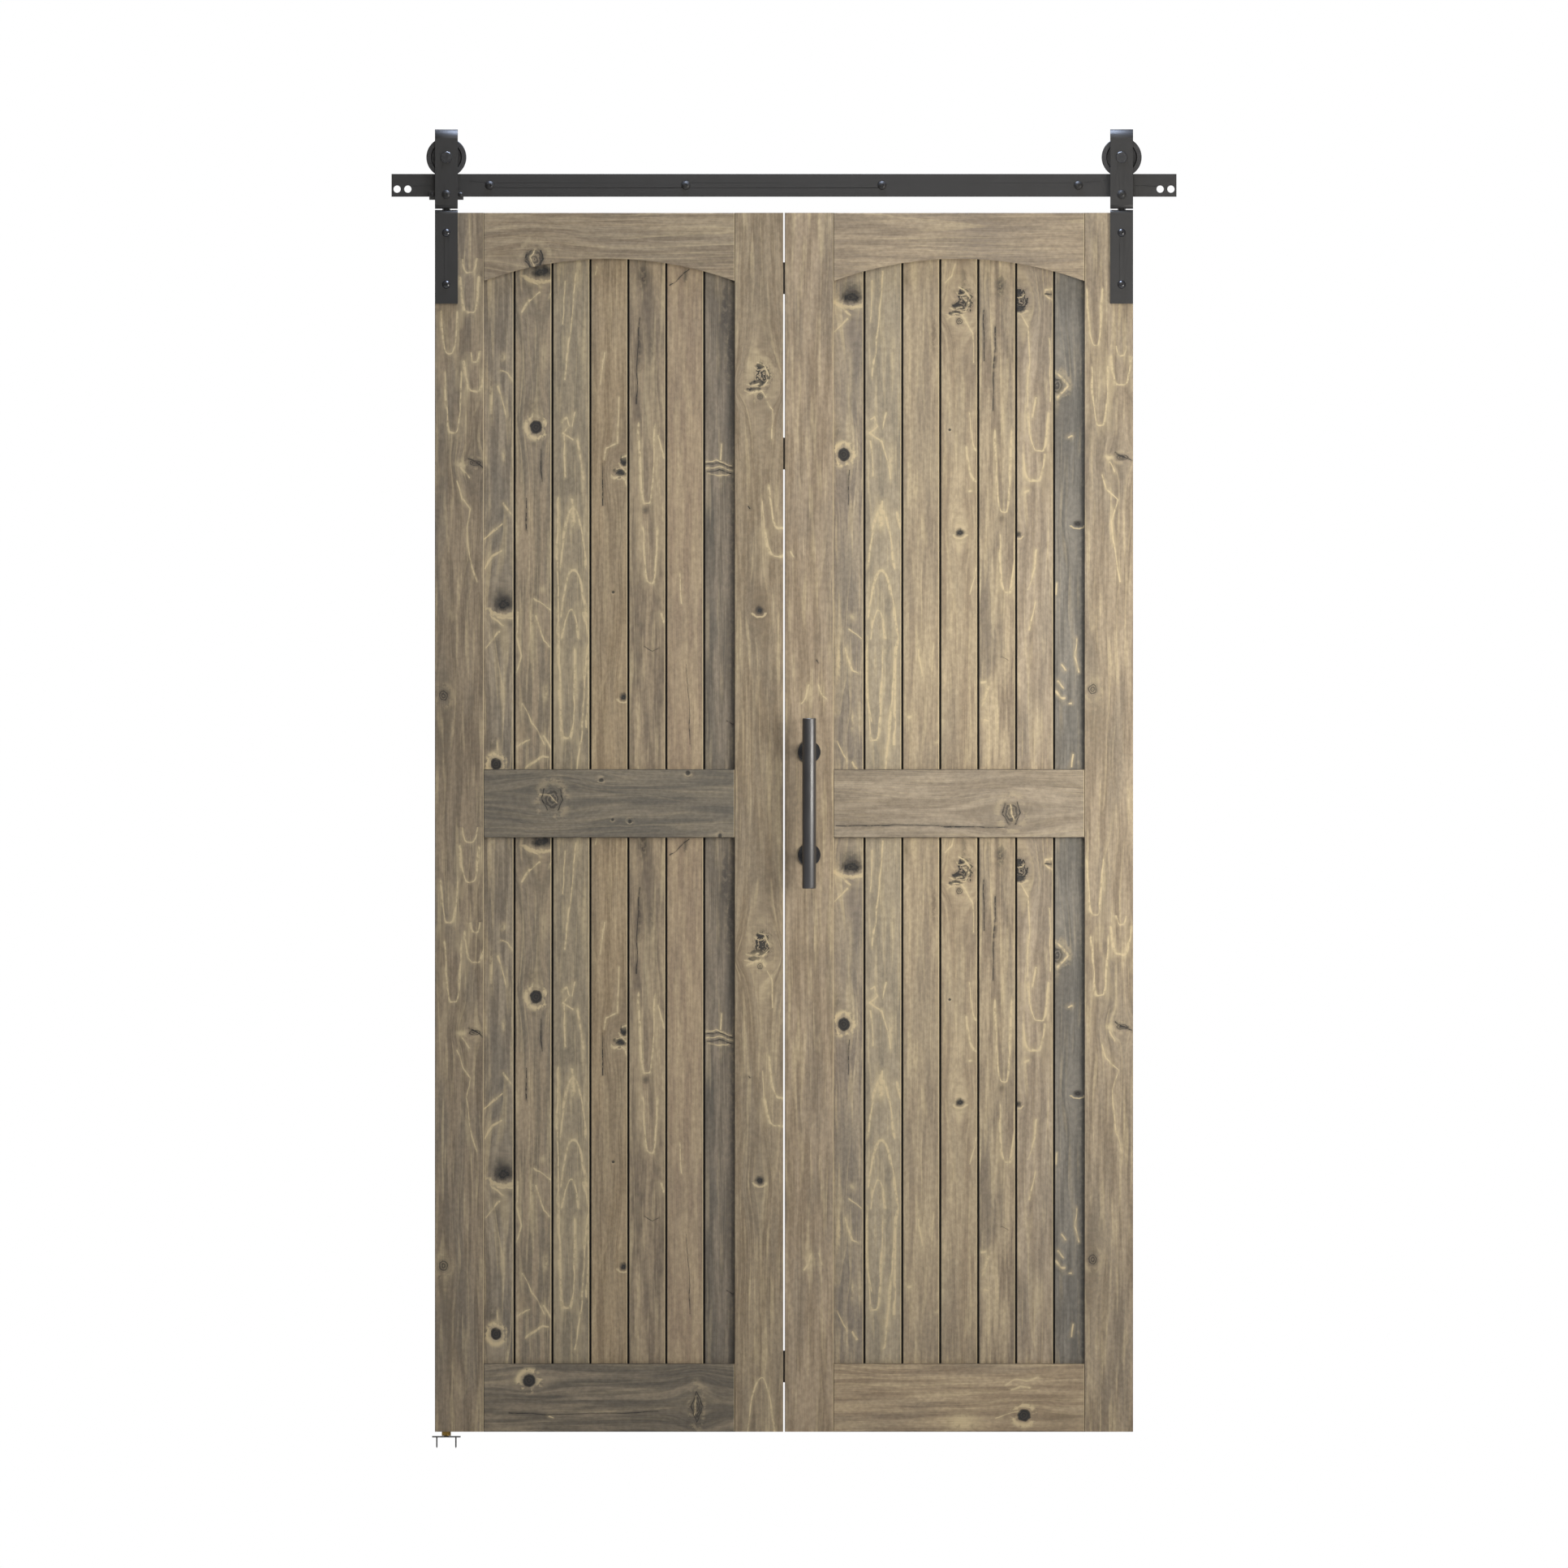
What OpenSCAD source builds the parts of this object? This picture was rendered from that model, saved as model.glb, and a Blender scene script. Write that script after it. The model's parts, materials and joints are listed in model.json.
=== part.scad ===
// Bi-fold barn door: two arch-topped plank leaves that fold on a flat wall track.
// Millimetres, +Z up, +X to the right seen from the room, +Y towards the wall.
// The origin is on the wall plane, at the middle of the line of track bolts.

/* [Leaves] */
// Width of each leaf
leaf_w = 609.6; // [560:0.1:680]
// Height of each leaf
leaf_h = 2133.6; // [2000:0.1:2300]
// Thickness of stiles and rails
leaf_t = 35; // [33:0.5:38]
// Gap between the closed leaves, filled by the hinge plates
leaf_gap = 2.8; // [2.6:0.1:4]
// Visible width of each stile
stile_w = 85.3; // [80:0.1:95]
// Height of each rail, the arched one at its ends
rail_h = 119.5; // [110:0.5:130]
// Rise of the arch under the top rail
arch_rise = 39; // [25:1:50]
// Height of the middle rail's lower edge above the foot of the leaf
middle_rail_up = 1040; // [950:5:1150]

/* [Planks] */
// Thickness of the planks
plank_t = 16; // [14:0.5:18]
// Width of an inner plank, joint to joint
plank_pitch = 66.4; // [60:0.1:70]
// Depth of the bevel along each plank edge
plank_bevel = 2; // [1:0.1:3]

/* [Track] */
// Length of the flat track
track_l = 1374; // [1330:1:1500]
// Height of the flat track
track_h = 40; // [38:1:44]
// Thickness of the flat track
track_t = 6; // [5:0.5:7]
// Distance between neighbouring wall bolts
bolt_pitch = 343.5; // [330:0.5:350]
// Length of the wall spacers
spacer_l = 38; // [36:1:50]
// Distance from the track down to the top of the leaves
door_drop = 28; // [28:0.5:34]

/* [Hangers] */
// Width of the hanger straps and door brackets
strap_w = 40; // [36:1:44]
// Thickness of the strap steel
strap_t = 5; // [4:0.5:6]
// Clear space between the two legs of a strap
strap_gap = 23; // [23:0.5:26]
// Outer radius of the wheels
wheel_r = 35; // [33:0.5:38]
// Depth of the wheel groove that straddles the track
groove_depth = 6; // [5:0.5:7]
// Distance from a leaf's outer edge to its turning axis
pivot_inset = 20; // [18:0.5:26]
// Height of the plates bolted to the leaves
bracket_h = 164; // [150:1:180]

/* [Handle] */
// Length of the pull bar
handle_l = 298; // [280:1:320]
// Radius of the pull bar
handle_r = 12; // [10:0.5:14]
// Distance between the two posts
handle_pitch = 180; // [160:1:200]
// Distance from the leaf's face to the middle of the bar
handle_out = 50; // [44:1:60]

/* [Hinges] */
// Height of each hinge
hinge_h = 52.7; // [48:0.1:60]
// Middles of the hinges, measured down from the top of the leaf
hinge_down = [114.5, 421.4, 2019.2];
// Radius of the hinge barrel
knuckle_r = 3.5; // [3.3:0.1:3.6]

/* [Floor pivot] */
// Gap between the leaves and the floor bracket
floor_gap = 7.4; // [6:0.1:10]
// Width of the floor bracket
floor_plate_w = 50; // [46:1:60]
// Thickness of the floor bracket
floor_plate_t = 2.5; // [2:0.1:4]
// Distance between the two floor screws
floor_screw_pitch = 33.5; // [30:0.5:36]

/* [Hidden] */
$fn = 96;
plank_count = 7;
UPPER_PLANKS = [for (side = ["left", "right"], i = [1:plank_count]) str(side, "_upper_plank_", i)];

black = "#403f3d";
wood = "#8d7c63";
darker_wood = "#6f665a";
brass = "#b0893f";
tiny = 0.05;   // running clearance
over = 1;      // how far a cut runs past the face it opens

// places that the pieces share
track_y = -(spacer_l + track_t / 2);
front_y = track_y - strap_gap / 2;
back_y = front_y + leaf_t;
mid_y = front_y + leaf_t / 2;
top_z = -(track_h / 2 + door_drop);
foot_z = top_z - leaf_h;
pivot_x = leaf_w + leaf_gap / 2 - pivot_inset;
outer_x = leaf_w + leaf_gap / 2;
inner_x = leaf_gap / 2;
panel_w = leaf_w - 2 * stile_w;
panel_x = outer_x - stile_w;          // outer end of the panel, as a distance from the middle
axle_z = track_h / 2 + wheel_r - groove_depth + 0.15;
middle_z = foot_z + middle_rail_up + rail_h / 2;
bolt_xs = [for (i = [-1.5:1:1.5]) i * bolt_pitch];

// joinery of the leaves
edge_bevel = 1;
groove_w = plank_t + 0.4;
groove_d = 10;
plank_in = groove_d - 1;
tenon_l = 30;
tenon_shoulder = 12;
joint_gap = 0.8;      // half of the gap between neighbouring planks
tongue_l = 7;
tongue_t = 5;
arch_r = ((panel_w / 2) * (panel_w / 2) + arch_rise * arch_rise) / (2 * arch_rise);
arch_z = top_z - rail_h + arch_rise - arch_r;
edge_plank_w = (panel_w - (plank_count - 2) * plank_pitch) / 2;

// hangers
strap_out = strap_gap / 2 + strap_t;
loop_z = 81.7;          // middle of the loop over the wheel
rear_leg_z = 27;        // lower end of the leg behind the wheel
strap_foot_z = top_z + 7;
strap_foot_back = 14;   // how far the foot reaches behind the track's middle
bend_r = 7;             // outer radius of the strap's lower bend
axle_r = 5;
axle_head_r = 10;
axle_head_t = 3;
wheel_w = 20;
bearing_r = 13;
bearing_w = 8;
ball_r = 1.75;
ball_pitch_r = 9;
screw_z = -16;          // height of the screw through each strap
block_z = -25.4;        // underside of the clamp and guide blocks
block_h = 16.5;
clamp_w = 60;
clamp_screw_x = 24.7;
guide_w = 34;
bracket_bolt_down = [35, 125.5];   // bolt heights below the top of the leaf
bracket_flange = 30;

// track holes
end_hole_r = 6.3;
end_hole_in = 9.8;
end_hole_pitch = 18.8;
end_hole_down = 6.6;
lag_r = 4;
lag_thread_r = 3.7;
lag_thread_l = 42;

// hinges
plate_t = 1.2;
plate_reach = 27;
pin_r = 1.8;
pin_y = back_y + 3.9;
knuckle_gap = 0.2;
hinge_screw_zs = [-18, 0, 18];

// floor pivot
bush_r = 8;
floor_pin_r = 4;
bush_up = 30;
floor_z = foot_z - floor_gap - floor_plate_t;

handle_x = inner_x + stile_w / 2;
handle_y = front_y - handle_out;

// ---- shared shapes ----

// a rod along +Y that starts at y
module rod_y(r, y, l) translate([0, y, 0]) rotate([-90, 0, 0]) cylinder(r = r, h = l);

// a block given by its low and high corners
module block(low, high) translate(low) cube(high - low);

// a quarter of a bent strip, about X: it joins a strip along Z to one along Y
module quarter_bend(r_out, t, w) {
    intersection() {
        rotate([0, 90, 0]) difference() {
            cylinder(r = r_out, h = w, center = true);
            cylinder(r = r_out - t, h = w + 2 * over, center = true);
        }
        translate([-w / 2 - over, -r_out - over, -r_out - over]) cube([w + 2 * over, r_out + over, r_out + over]);
    }
}

// a dome-headed socket screw whose head faces -Y, with the head's seat at y = 0
module dome_screw(head_r, head_h, shank_r, shank_l, socket_r = 0) {
    sphere_r = (head_r * head_r + head_h * head_h) / (2 * head_h);
    difference() {
        union() {
            intersection() {
                translate([0, sphere_r - head_h, 0]) sphere(r = sphere_r);
                rod_y(head_r, -head_h, head_h);
            }
            rod_y(shank_r, -tiny, shank_l + tiny);
        }
        if (socket_r > 0)
            translate([0, -head_h - over, 0]) rotate([-90, 0, 0])
                cylinder(r = socket_r, h = head_h * 0.6 + over, $fn = 6);
    }
}

// a flat-headed wood screw along -Z, with its head's top at z = 0
module flat_screw(head_r, head_h, neck_r, neck_l, thread_r, thread_l, tip_l) {
    rotate_extrude() polygon([
        [0, 0], [head_r, 0], [neck_r, -head_h], [neck_r, -neck_l],
        [thread_r, -neck_l], [thread_r, -neck_l - thread_l], [0, -neck_l - thread_l - tip_l]
    ]);
}

// ---- track ----

module track_bar() {
    color(black) difference() {
        translate([-track_l / 2, track_y - track_t / 2, -track_h / 2]) cube([track_l, track_t, track_h]);
        for (x = bolt_xs)
            translate([x, 0, 0]) rod_y(lag_r + 0.3, track_y - track_t, 2 * track_t);
        for (side = [-1, 1], i = [0, 1])
            translate([side * (track_l / 2 - end_hole_in - i * end_hole_pitch), 0, -end_hole_down])
                rod_y(end_hole_r, track_y - track_t, 2 * track_t);
    }
}

module track_spacers() {
    color(black) for (x = bolt_xs) translate([x, 0, 0]) difference() {
        rod_y(9.5, -spacer_l, spacer_l);
        rod_y(lag_r + 0.3, -spacer_l - over, spacer_l + 2 * over);
    }
}

module track_lag_screws() {
    color(black) for (x = bolt_xs) translate([x, track_y - track_t / 2, 0]) {
        union() {
            dome_screw(8, 5.2, lag_r, spacer_l + track_t, 3.4);
            rod_y(lag_thread_r, spacer_l + track_t - tiny, lag_thread_l + tiny);
            translate([0, spacer_l + track_t + lag_thread_l, 0]) rotate([-90, 0, 0])
                cylinder(r1 = lag_thread_r, r2 = 0.3, h = 9);
        }
    }
}

// ---- hangers, drawn about x = 0 ----

module hanger_strap() {
    color(black) difference() {
        union() {
            // front leg, loop over the wheel, rear leg
            block([-strap_w / 2, track_y - strap_out, strap_foot_z + bend_r],
                  [strap_w / 2, track_y - strap_gap / 2, loop_z]);
            block([-strap_w / 2, track_y + strap_gap / 2, rear_leg_z], [strap_w / 2, track_y + strap_out, loop_z]);
            translate([0, track_y, loop_z]) intersection() {
                rotate([0, 90, 0]) difference() {
                    cylinder(r = strap_out, h = strap_w, center = true);
                    cylinder(r = strap_gap / 2, h = strap_w + 2 * over, center = true);
                }
                block([-strap_w, -strap_w, 0], [strap_w, strap_w, strap_w]);
            }
            // bend and foot under the track
            translate([0, track_y - strap_out + bend_r, strap_foot_z + bend_r]) quarter_bend(bend_r, strap_t, strap_w);
            block([-strap_w / 2, track_y - strap_out + bend_r, strap_foot_z],
                  [strap_w / 2, track_y + strap_foot_back, strap_foot_z + strap_t]);
        }
        translate([0, 0, axle_z]) rod_y(axle_r + tiny, track_y - strap_out - over, 2 * strap_out + 2 * over);
        translate([0, 0, screw_z]) rod_y(4 + tiny, track_y - strap_out - over, strap_t + 2 * over);
        translate([0, track_y, strap_foot_z - over]) cylinder(r = axle_r + tiny, h = strap_t + 2 * over);
    }
}

// wheel body, turned about Y
module wheel_body() {
    half = wheel_w / 2;
    floor_r = wheel_r - groove_depth;
    color("#2b2a29") translate([0, track_y, axle_z]) rotate([-90, 0, 0]) rotate_extrude() polygon([
        [bearing_r + 0.03, -6], [17, -6], [17, -4], [25.5, -4], [26.5, -half + 0.6], [27.1, -half],
        [wheel_r - 1, -half], [wheel_r, -half + 1], [wheel_r, -5.6], [floor_r, -4],
        [floor_r, 4], [wheel_r, 5.6], [wheel_r, half - 1], [wheel_r - 1, half],
        [27.1, half], [26.5, half - 0.6], [25.5, 4], [17, 4], [17, 6], [bearing_r + 0.03, 6]
    ]);
}

module bearing_outer() {
    color("silver") translate([0, track_y, axle_z]) rotate([-90, 0, 0]) {
        // outer race with its two shields
        rotate_extrude() polygon([
            [7.6, -3.9], [bearing_r - 0.4, -4], [bearing_r, -3.6], [bearing_r, 3.6], [bearing_r - 0.4, 4],
            [7.6, 3.9], [7.6, 3.4], [10.8, 3.4], [10.8, -3.4], [7.6, -3.4]
        ]);
        for (a = [0:45:315]) rotate([0, 0, a]) translate([ball_pitch_r, 0, 0]) sphere(r = ball_r);
    }
}

module bearing_inner() {
    color("silver") translate([0, track_y - bearing_w / 2, axle_z]) rotate([-90, 0, 0]) difference() {
        cylinder(r = 7.2, h = bearing_w);
        translate([0, 0, -over]) cylinder(r = axle_r + 0.02, h = bearing_w + 2 * over);
    }
}

// axle bolt, its nut and the two bushes that centre the bearing
module axle_set() {
    bush_l = strap_gap / 2 - bearing_w / 2 - 2 * tiny;
    color(black) translate([0, 0, axle_z]) {
        union() {
            translate([0, track_y - strap_out, 0]) rotate([90, 0, 0]) {
                cylinder(r = axle_head_r, h = axle_head_t - 0.8);
                translate([0, 0, axle_head_t - 0.8]) cylinder(r1 = axle_head_r, r2 = axle_head_r - 0.8, h = 0.8);
            }
            rod_y(axle_r, track_y - strap_out - tiny, 2 * strap_out + 11);
        }
        translate([0, track_y + strap_out + tiny, 0]) rotate([-90, 0, 0]) difference() {
            cylinder(r = 9.8, h = 8, $fn = 6);
            translate([0, 0, -over]) cylinder(r = axle_r + 0.02, h = 8 + 2 * over);
        }
        for (side = [-1, 1])
            translate([0, track_y + side * (strap_gap / 2 + bearing_w / 2) / 2 - bush_l / 2, 0]) difference() {
                rod_y(7.1, 0, bush_l);
                rod_y(axle_r + 0.02, -over, bush_l + 2 * over);
            }
    }
}

// U-shaped block round the lower edge of the track
module track_block(w, play) {
    rear_t = 5;
    front_face = track_y - strap_gap / 2;
    color(black) difference() {
        block([-w / 2, front_face + tiny, block_z], [w / 2, track_y + track_t / 2 + play + rear_t, block_z + block_h]);
        block([-w, track_y - track_t / 2 - play, -track_h / 2 - play],
              [w, track_y + track_t / 2 + play, track_h]);
        // the rear wall stays below the wall spacers
        block([-w, track_y, -track_h / 2 + 9.5], [w, 0, track_h]);
        translate([0, 0, screw_z]) rod_y(4 + tiny, front_face - over, over + 7);
    }
}

module clamp_block() {
    color(black) difference() {
        track_block(clamp_w, tiny);
        for (side = [-1, 1]) translate([side * clamp_screw_x, 0, screw_z])
            rod_y(2.5 + tiny, track_y - strap_gap, strap_gap);
    }
}

module strap_screw() {
    color(black) translate([0, track_y - strap_out, screw_z]) dome_screw(8, 4.4, 4, strap_t + 6.8, 2.9);
}

module clamp_screws() {
    strap_screw();
    color(black) for (side = [-1, 1]) translate([side * clamp_screw_x, front_y, screw_z])
        dome_screw(4.2, 2.4, 2.5, strap_gap / 2 - track_t / 2 - 2 * tiny, 1.5);
}

// vertical bolt on the turning axis, with its thrust washers
module pivot_bolt() {
    color(black) translate([0, track_y, 0]) {
        union() {
            translate([0, 0, strap_foot_z + strap_t + 1.6]) cylinder(r = 9.2, h = 6, $fn = 6);
            translate([0, 0, top_z - 22]) cylinder(r = axle_r, h = strap_foot_z + strap_t + 1.7 - top_z + 22);
        }
        for (washer = [[strap_foot_z + strap_t + 0.1, 8.8, 1.4], [strap_foot_z - 1.9, 7, 1.8]])
            translate([0, 0, washer[0]]) difference() {
                cylinder(r = washer[1], h = washer[2]);
                translate([0, 0, -over]) cylinder(r = axle_r + tiny, h = washer[2] + 2 * over);
            }
    }
}

// L-shaped plate: face on the leaf's front, flange over its top
module door_bracket() {
    plate_top = top_z + strap_t;
    corner_r = 6;
    color(black) difference() {
        union() {
            block([-strap_w / 2, front_y - strap_t, plate_top - bracket_h],
                  [strap_w / 2, front_y, plate_top - corner_r]);
            block([-strap_w / 2, front_y - strap_t + corner_r, top_z],
                  [strap_w / 2, front_y + bracket_flange, plate_top]);
            translate([0, front_y - strap_t + corner_r, plate_top - corner_r]) mirror([0, 0, 1])
                quarter_bend(corner_r, strap_t, strap_w);
        }
        translate([0, track_y, top_z - over]) cylinder(r = axle_r + 0.03, h = strap_t + 2 * over);
        for (down = bracket_bolt_down)
            translate([0, 0, top_z - down]) rod_y(4 + tiny, front_y - strap_t - over, strap_t + 2 * over);
    }
}

module cap_nut() {
    nut_t = 6;
    difference() {
        union() {
            cylinder(r = 7.3, h = nut_t, $fn = 6);
            intersection() {
                translate([0, 0, nut_t - 2]) sphere(r = 6);
                cylinder(r = 7.2, h = 2 * nut_t);
            }
        }
        translate([0, 0, -over]) cylinder(r = 4 + tiny, h = nut_t + over);
    }
}

module bracket_bolts() {
    washer_t = 1.6;
    color(black) for (down = bracket_bolt_down) translate([0, 0, top_z - down]) {
        translate([0, front_y - strap_t, 0]) dome_screw(7.3, 4.6, 4, strap_t + leaf_t + washer_t + 5, 2.9);
        difference() {
            rod_y(8.5, back_y, washer_t);
            rod_y(4 + tiny, back_y - over, washer_t + 2 * over);
        }
        translate([0, back_y + washer_t, 0]) rotate([-90, 0, 0]) cap_nut();
    }
}

// ---- leaves, drawn for the left side ----

module stile_outline() {
    low = (leaf_t - groove_w) / 2;
    high = (leaf_t + groove_w) / 2;
    polygon([
        [0, edge_bevel], [edge_bevel, 0], [stile_w - edge_bevel, 0], [stile_w, edge_bevel],
        [stile_w, low], [stile_w - groove_d, low], [stile_w - groove_d, high], [stile_w, high],
        [stile_w, leaf_t - edge_bevel], [stile_w - edge_bevel, leaf_t], [edge_bevel, leaf_t], [0, leaf_t - edge_bevel]
    ]);
}

// mortises in a stile whose grooved edge is at x = stile_w
module mortises() {
    for (z = [top_z - rail_h, middle_z - rail_h / 2, foot_z])
        translate([stile_w - tenon_l - 0.5, (leaf_t - groove_w) / 2, z + tenon_shoulder - 0.3])
            cube([tenon_l + over, groove_w, rail_h - 2 * tenon_shoulder + 0.6]);
}

module plain_stile() {
    difference() {
        translate([0, 0, foot_z]) linear_extrude(height = leaf_h) stile_outline();
        mortises();
    }
}

module outer_stile(has_floor_pivot) {
    color(wood) difference() {
        translate([-outer_x, front_y, 0]) plain_stile();
        translate([-pivot_x, 0, 0]) {
            for (down = bracket_bolt_down)
                translate([0, 0, top_z - down]) rod_y(4.3, front_y - over, leaf_t + 2 * over);
            translate([0, track_y, top_z - 25]) cylinder(r = axle_r + 0.6, h = 25 + over);
            if (has_floor_pivot)
                translate([0, track_y, foot_z - over]) cylinder(r = bush_r + tiny, h = bush_up + 1 + over);
        }
    }
}

module inner_stile(has_handle) {
    color(wood) difference() {
        translate([-inner_x, front_y, 0]) mirror([1, 0, 0]) plain_stile();
        hinge_screw_places() rotate([0, 90, 0]) translate([0, 0, -20]) cylinder(r = 1.55, h = 20 + over);
        if (has_handle)
            for (side = [-1, 1]) translate([-handle_x, 0, middle_z + side * handle_pitch / 2])
                rod_y(3.3, front_y - over, leaf_t + 2 * over);
    }
}

// a straight bar with bevelled long edges and end tenons, lying along X
module rail_blank(z) {
    color(wood) translate([-panel_x, 0, z]) union() {
        translate([0, front_y, 0]) rotate([90, 0, 90]) linear_extrude(height = panel_w) polygon([
            [0, edge_bevel], [edge_bevel, 0], [leaf_t - edge_bevel, 0], [leaf_t, edge_bevel],
            [leaf_t, rail_h - edge_bevel], [leaf_t - edge_bevel, rail_h], [edge_bevel, rail_h], [0, rail_h - edge_bevel]
        ]);
        translate([-tenon_l, mid_y - plank_t / 2, tenon_shoulder])
            cube([panel_w + 2 * tenon_l, plank_t, rail_h - 2 * tenon_shoulder]);
    }
}

// haunches at both ends of a rail, which fill the stiles' grooves from height z0 to z1
module haunches(z0, z1) {
    reach = groove_d - 0.2;
    translate([-panel_x - reach, mid_y - plank_t / 2, z0]) cube([panel_w + 2 * reach, plank_t, z1 - z0]);
}

// groove along a rail, from height z upwards by the groove's depth
module rail_groove(z) {
    translate([-panel_x - over, mid_y - groove_w / 2, z]) cube([panel_w + 2 * over, groove_w, groove_d]);
}

// the round shape under the top rail, grown by extra
module arch_disc(extra, t) {
    translate([-panel_x + panel_w / 2, mid_y - t / 2, arch_z]) rotate([-90, 0, 0])
        cylinder(r = arch_r + extra, h = t, $fn = 360);
}

module top_rail() {
    color(wood) difference() {
        union() {
            rail_blank(top_z - rail_h);
            haunches(top_z - tenon_shoulder - 1, top_z);
        }
        arch_disc(0, leaf_t + 2 * over);
        arch_disc(groove_d, groove_w);
    }
}

module middle_rail() {
    color(wood) difference() {
        rail_blank(middle_z - rail_h / 2);
        rail_groove(middle_z - rail_h / 2);
        rail_groove(middle_z + rail_h / 2 - groove_d);
    }
}

module bottom_rail() {
    color(wood) difference() {
        union() {
            rail_blank(foot_z);
            haunches(foot_z, foot_z + tenon_shoulder + 1);
        }
        rail_groove(foot_z + rail_h - groove_d);
    }
}

// section of a plank of width w: a groove on a joined left edge, a tongue on a joined right edge
function plank_points(w, left, right) = let (
    h = plank_t / 2, g = joint_gap, v = plank_bevel, tt = tongue_t / 2, gt = tongue_t / 2 + 0.2
) concat(
    left ? [[g, -h + v], [g + v, -h]] : [[0, -h]],
    right ? [
        [w - g - v, -h], [w - g, -h + v], [w - g, -tt], [w - g + tongue_l, -tt],
        [w - g + tongue_l, tt], [w - g, tt], [w - g, h - v], [w - g - v, h]
    ] : [[w, -h], [w, h]],
    left ? [
        [g + v, h], [g, h - v], [g, gt], [g + tongue_l + 1, gt], [g + tongue_l + 1, -gt], [g, -gt]
    ] : [[0, h]]
);

// plank number i, counted from the outer stile, from height z0 to z1
module plank(i, z0, z1) {
    first = i == 1;
    last = i == plank_count;
    w = first || last ? edge_plank_w + plank_in : plank_pitch;
    x = first ? -plank_in : edge_plank_w + (i - 2) * plank_pitch;
    translate([-panel_x + x, mid_y, z0]) linear_extrude(height = z1 - z0) polygon(plank_points(w, !first, !last));
}

module upper_plank(i) {
    color(i % 2 == 0 ? wood : darker_wood) intersection() {
        plank(i, middle_z + rail_h / 2 - plank_in, top_z);
        arch_disc(plank_in, leaf_t);
    }
}

module lower_planks() {
    color(wood) for (i = [1:plank_count])
        plank(i, foot_z + rail_h - plank_in, middle_z - rail_h / 2 + plank_in);
}

// ---- hinges, drawn for the left side ----

module hinge_places() {
    for (down = hinge_down) translate([0, 0, top_z - down]) children();
}

module hinge_screw_places() {
    hinge_places() for (i = [0:2])
        translate([-inner_x, back_y - (i == 1 ? 19 : 8), hinge_screw_zs[i]]) children();
}

// one hinge plate with the knuckles whose numbers are listed
module hinge_plate(knuckles) {
    step = hinge_h / 5;
    clear_y = pin_y - knuckle_r - 0.35;
    difference() {
        union() {
            block([-inner_x, back_y - plate_reach, -hinge_h / 2], [-inner_x + plate_t, clear_y, hinge_h / 2]);
            for (k = knuckles) {
                z0 = -hinge_h / 2 + k * step + (k == 0 ? 0 : knuckle_gap / 2);
                z1 = -hinge_h / 2 + (k + 1) * step - (k == 4 ? 0 : knuckle_gap / 2);
                block([-inner_x, clear_y - over, z0], [-inner_x + plate_t, pin_y, z1]);
                translate([0, pin_y, z0]) cylinder(r = knuckle_r, h = z1 - z0);
            }
        }
        translate([0, pin_y, -hinge_h]) cylinder(r = pin_r + 0.03, h = 2 * hinge_h);
    }
}

module hinge_plates(knuckles) {
    color(black) difference() {
        hinge_places() hinge_plate(knuckles);
        hinge_screw_places() translate([plate_t, 0, 0]) rotate([0, -90, 0]) {
            translate([0, 0, -over]) cylinder(r = 1.55, h = plate_t + 2 * over);
            cylinder(r1 = 2.75, r2 = 1.55, h = plate_t);
        }
    }
}

module hinge_screws() {
    color(black) hinge_screw_places() translate([plate_t - tiny, 0, 0]) rotate([0, 90, 0])
        flat_screw(2.6, 1.1, 1.5, 2, 1.4, 11, 4);
}

module hinge_pins() {
    color(black) hinge_places() translate([0, pin_y, 0]) union() {
        cylinder(r = pin_r, h = hinge_h + 2, center = true);
        for (side = [-1, 1]) translate([0, 0, side * (hinge_h / 2 + 0.8)]) cylinder(r = 2.6, h = 1.4, center = true);
    }
}

// ---- handle and floor pivot ----

module handle_bar() {
    chamfer = 0.8;
    color(black) translate([handle_x, handle_y, middle_z - handle_l / 2]) rotate_extrude() polygon([
        [0, 0], [handle_r - chamfer, 0], [handle_r, chamfer], [handle_r, handle_l - chamfer],
        [handle_r - chamfer, handle_l], [0, handle_l]
    ]);
}

module handle_posts() {
    rosette_r = 20;
    rosette_t = 5;
    post_r = 8;
    color(black) for (side = [-1, 1]) translate([handle_x, 0, middle_z + side * handle_pitch / 2]) difference() {
        translate([0, front_y, 0]) rotate([90, 0, 0]) rotate_extrude() polygon([
            [0, 0], [rosette_r, 0], [rosette_r, rosette_t - 1.2], [rosette_r - 1.2, rosette_t],
            [post_r, rosette_t], [post_r, handle_out], [0, handle_out]
        ]);
        translate([0, handle_y, 0]) cylinder(r = handle_r + 0.02, h = 60, center = true);
        rod_y(3 + tiny, front_y - 24, 24 + over);
    }
}

module handle_screws() {
    color(black) for (side = [-1, 1]) translate([handle_x, back_y, middle_z + side * handle_pitch / 2])
        mirror([0, 1, 0]) dome_screw(6.5, 3.4, 3, leaf_t + 20, 2.3);
}

module bottom_pivot_bush() {
    low = foot_z - floor_gap + 0.3;
    color(brass) translate([-pivot_x, track_y, low]) difference() {
        cylinder(r = bush_r, h = foot_z + bush_up - low);
        translate([0, 0, -over]) cylinder(r = floor_pin_r + tiny, h = bush_up + floor_gap + 2 * over);
    }
}

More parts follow.
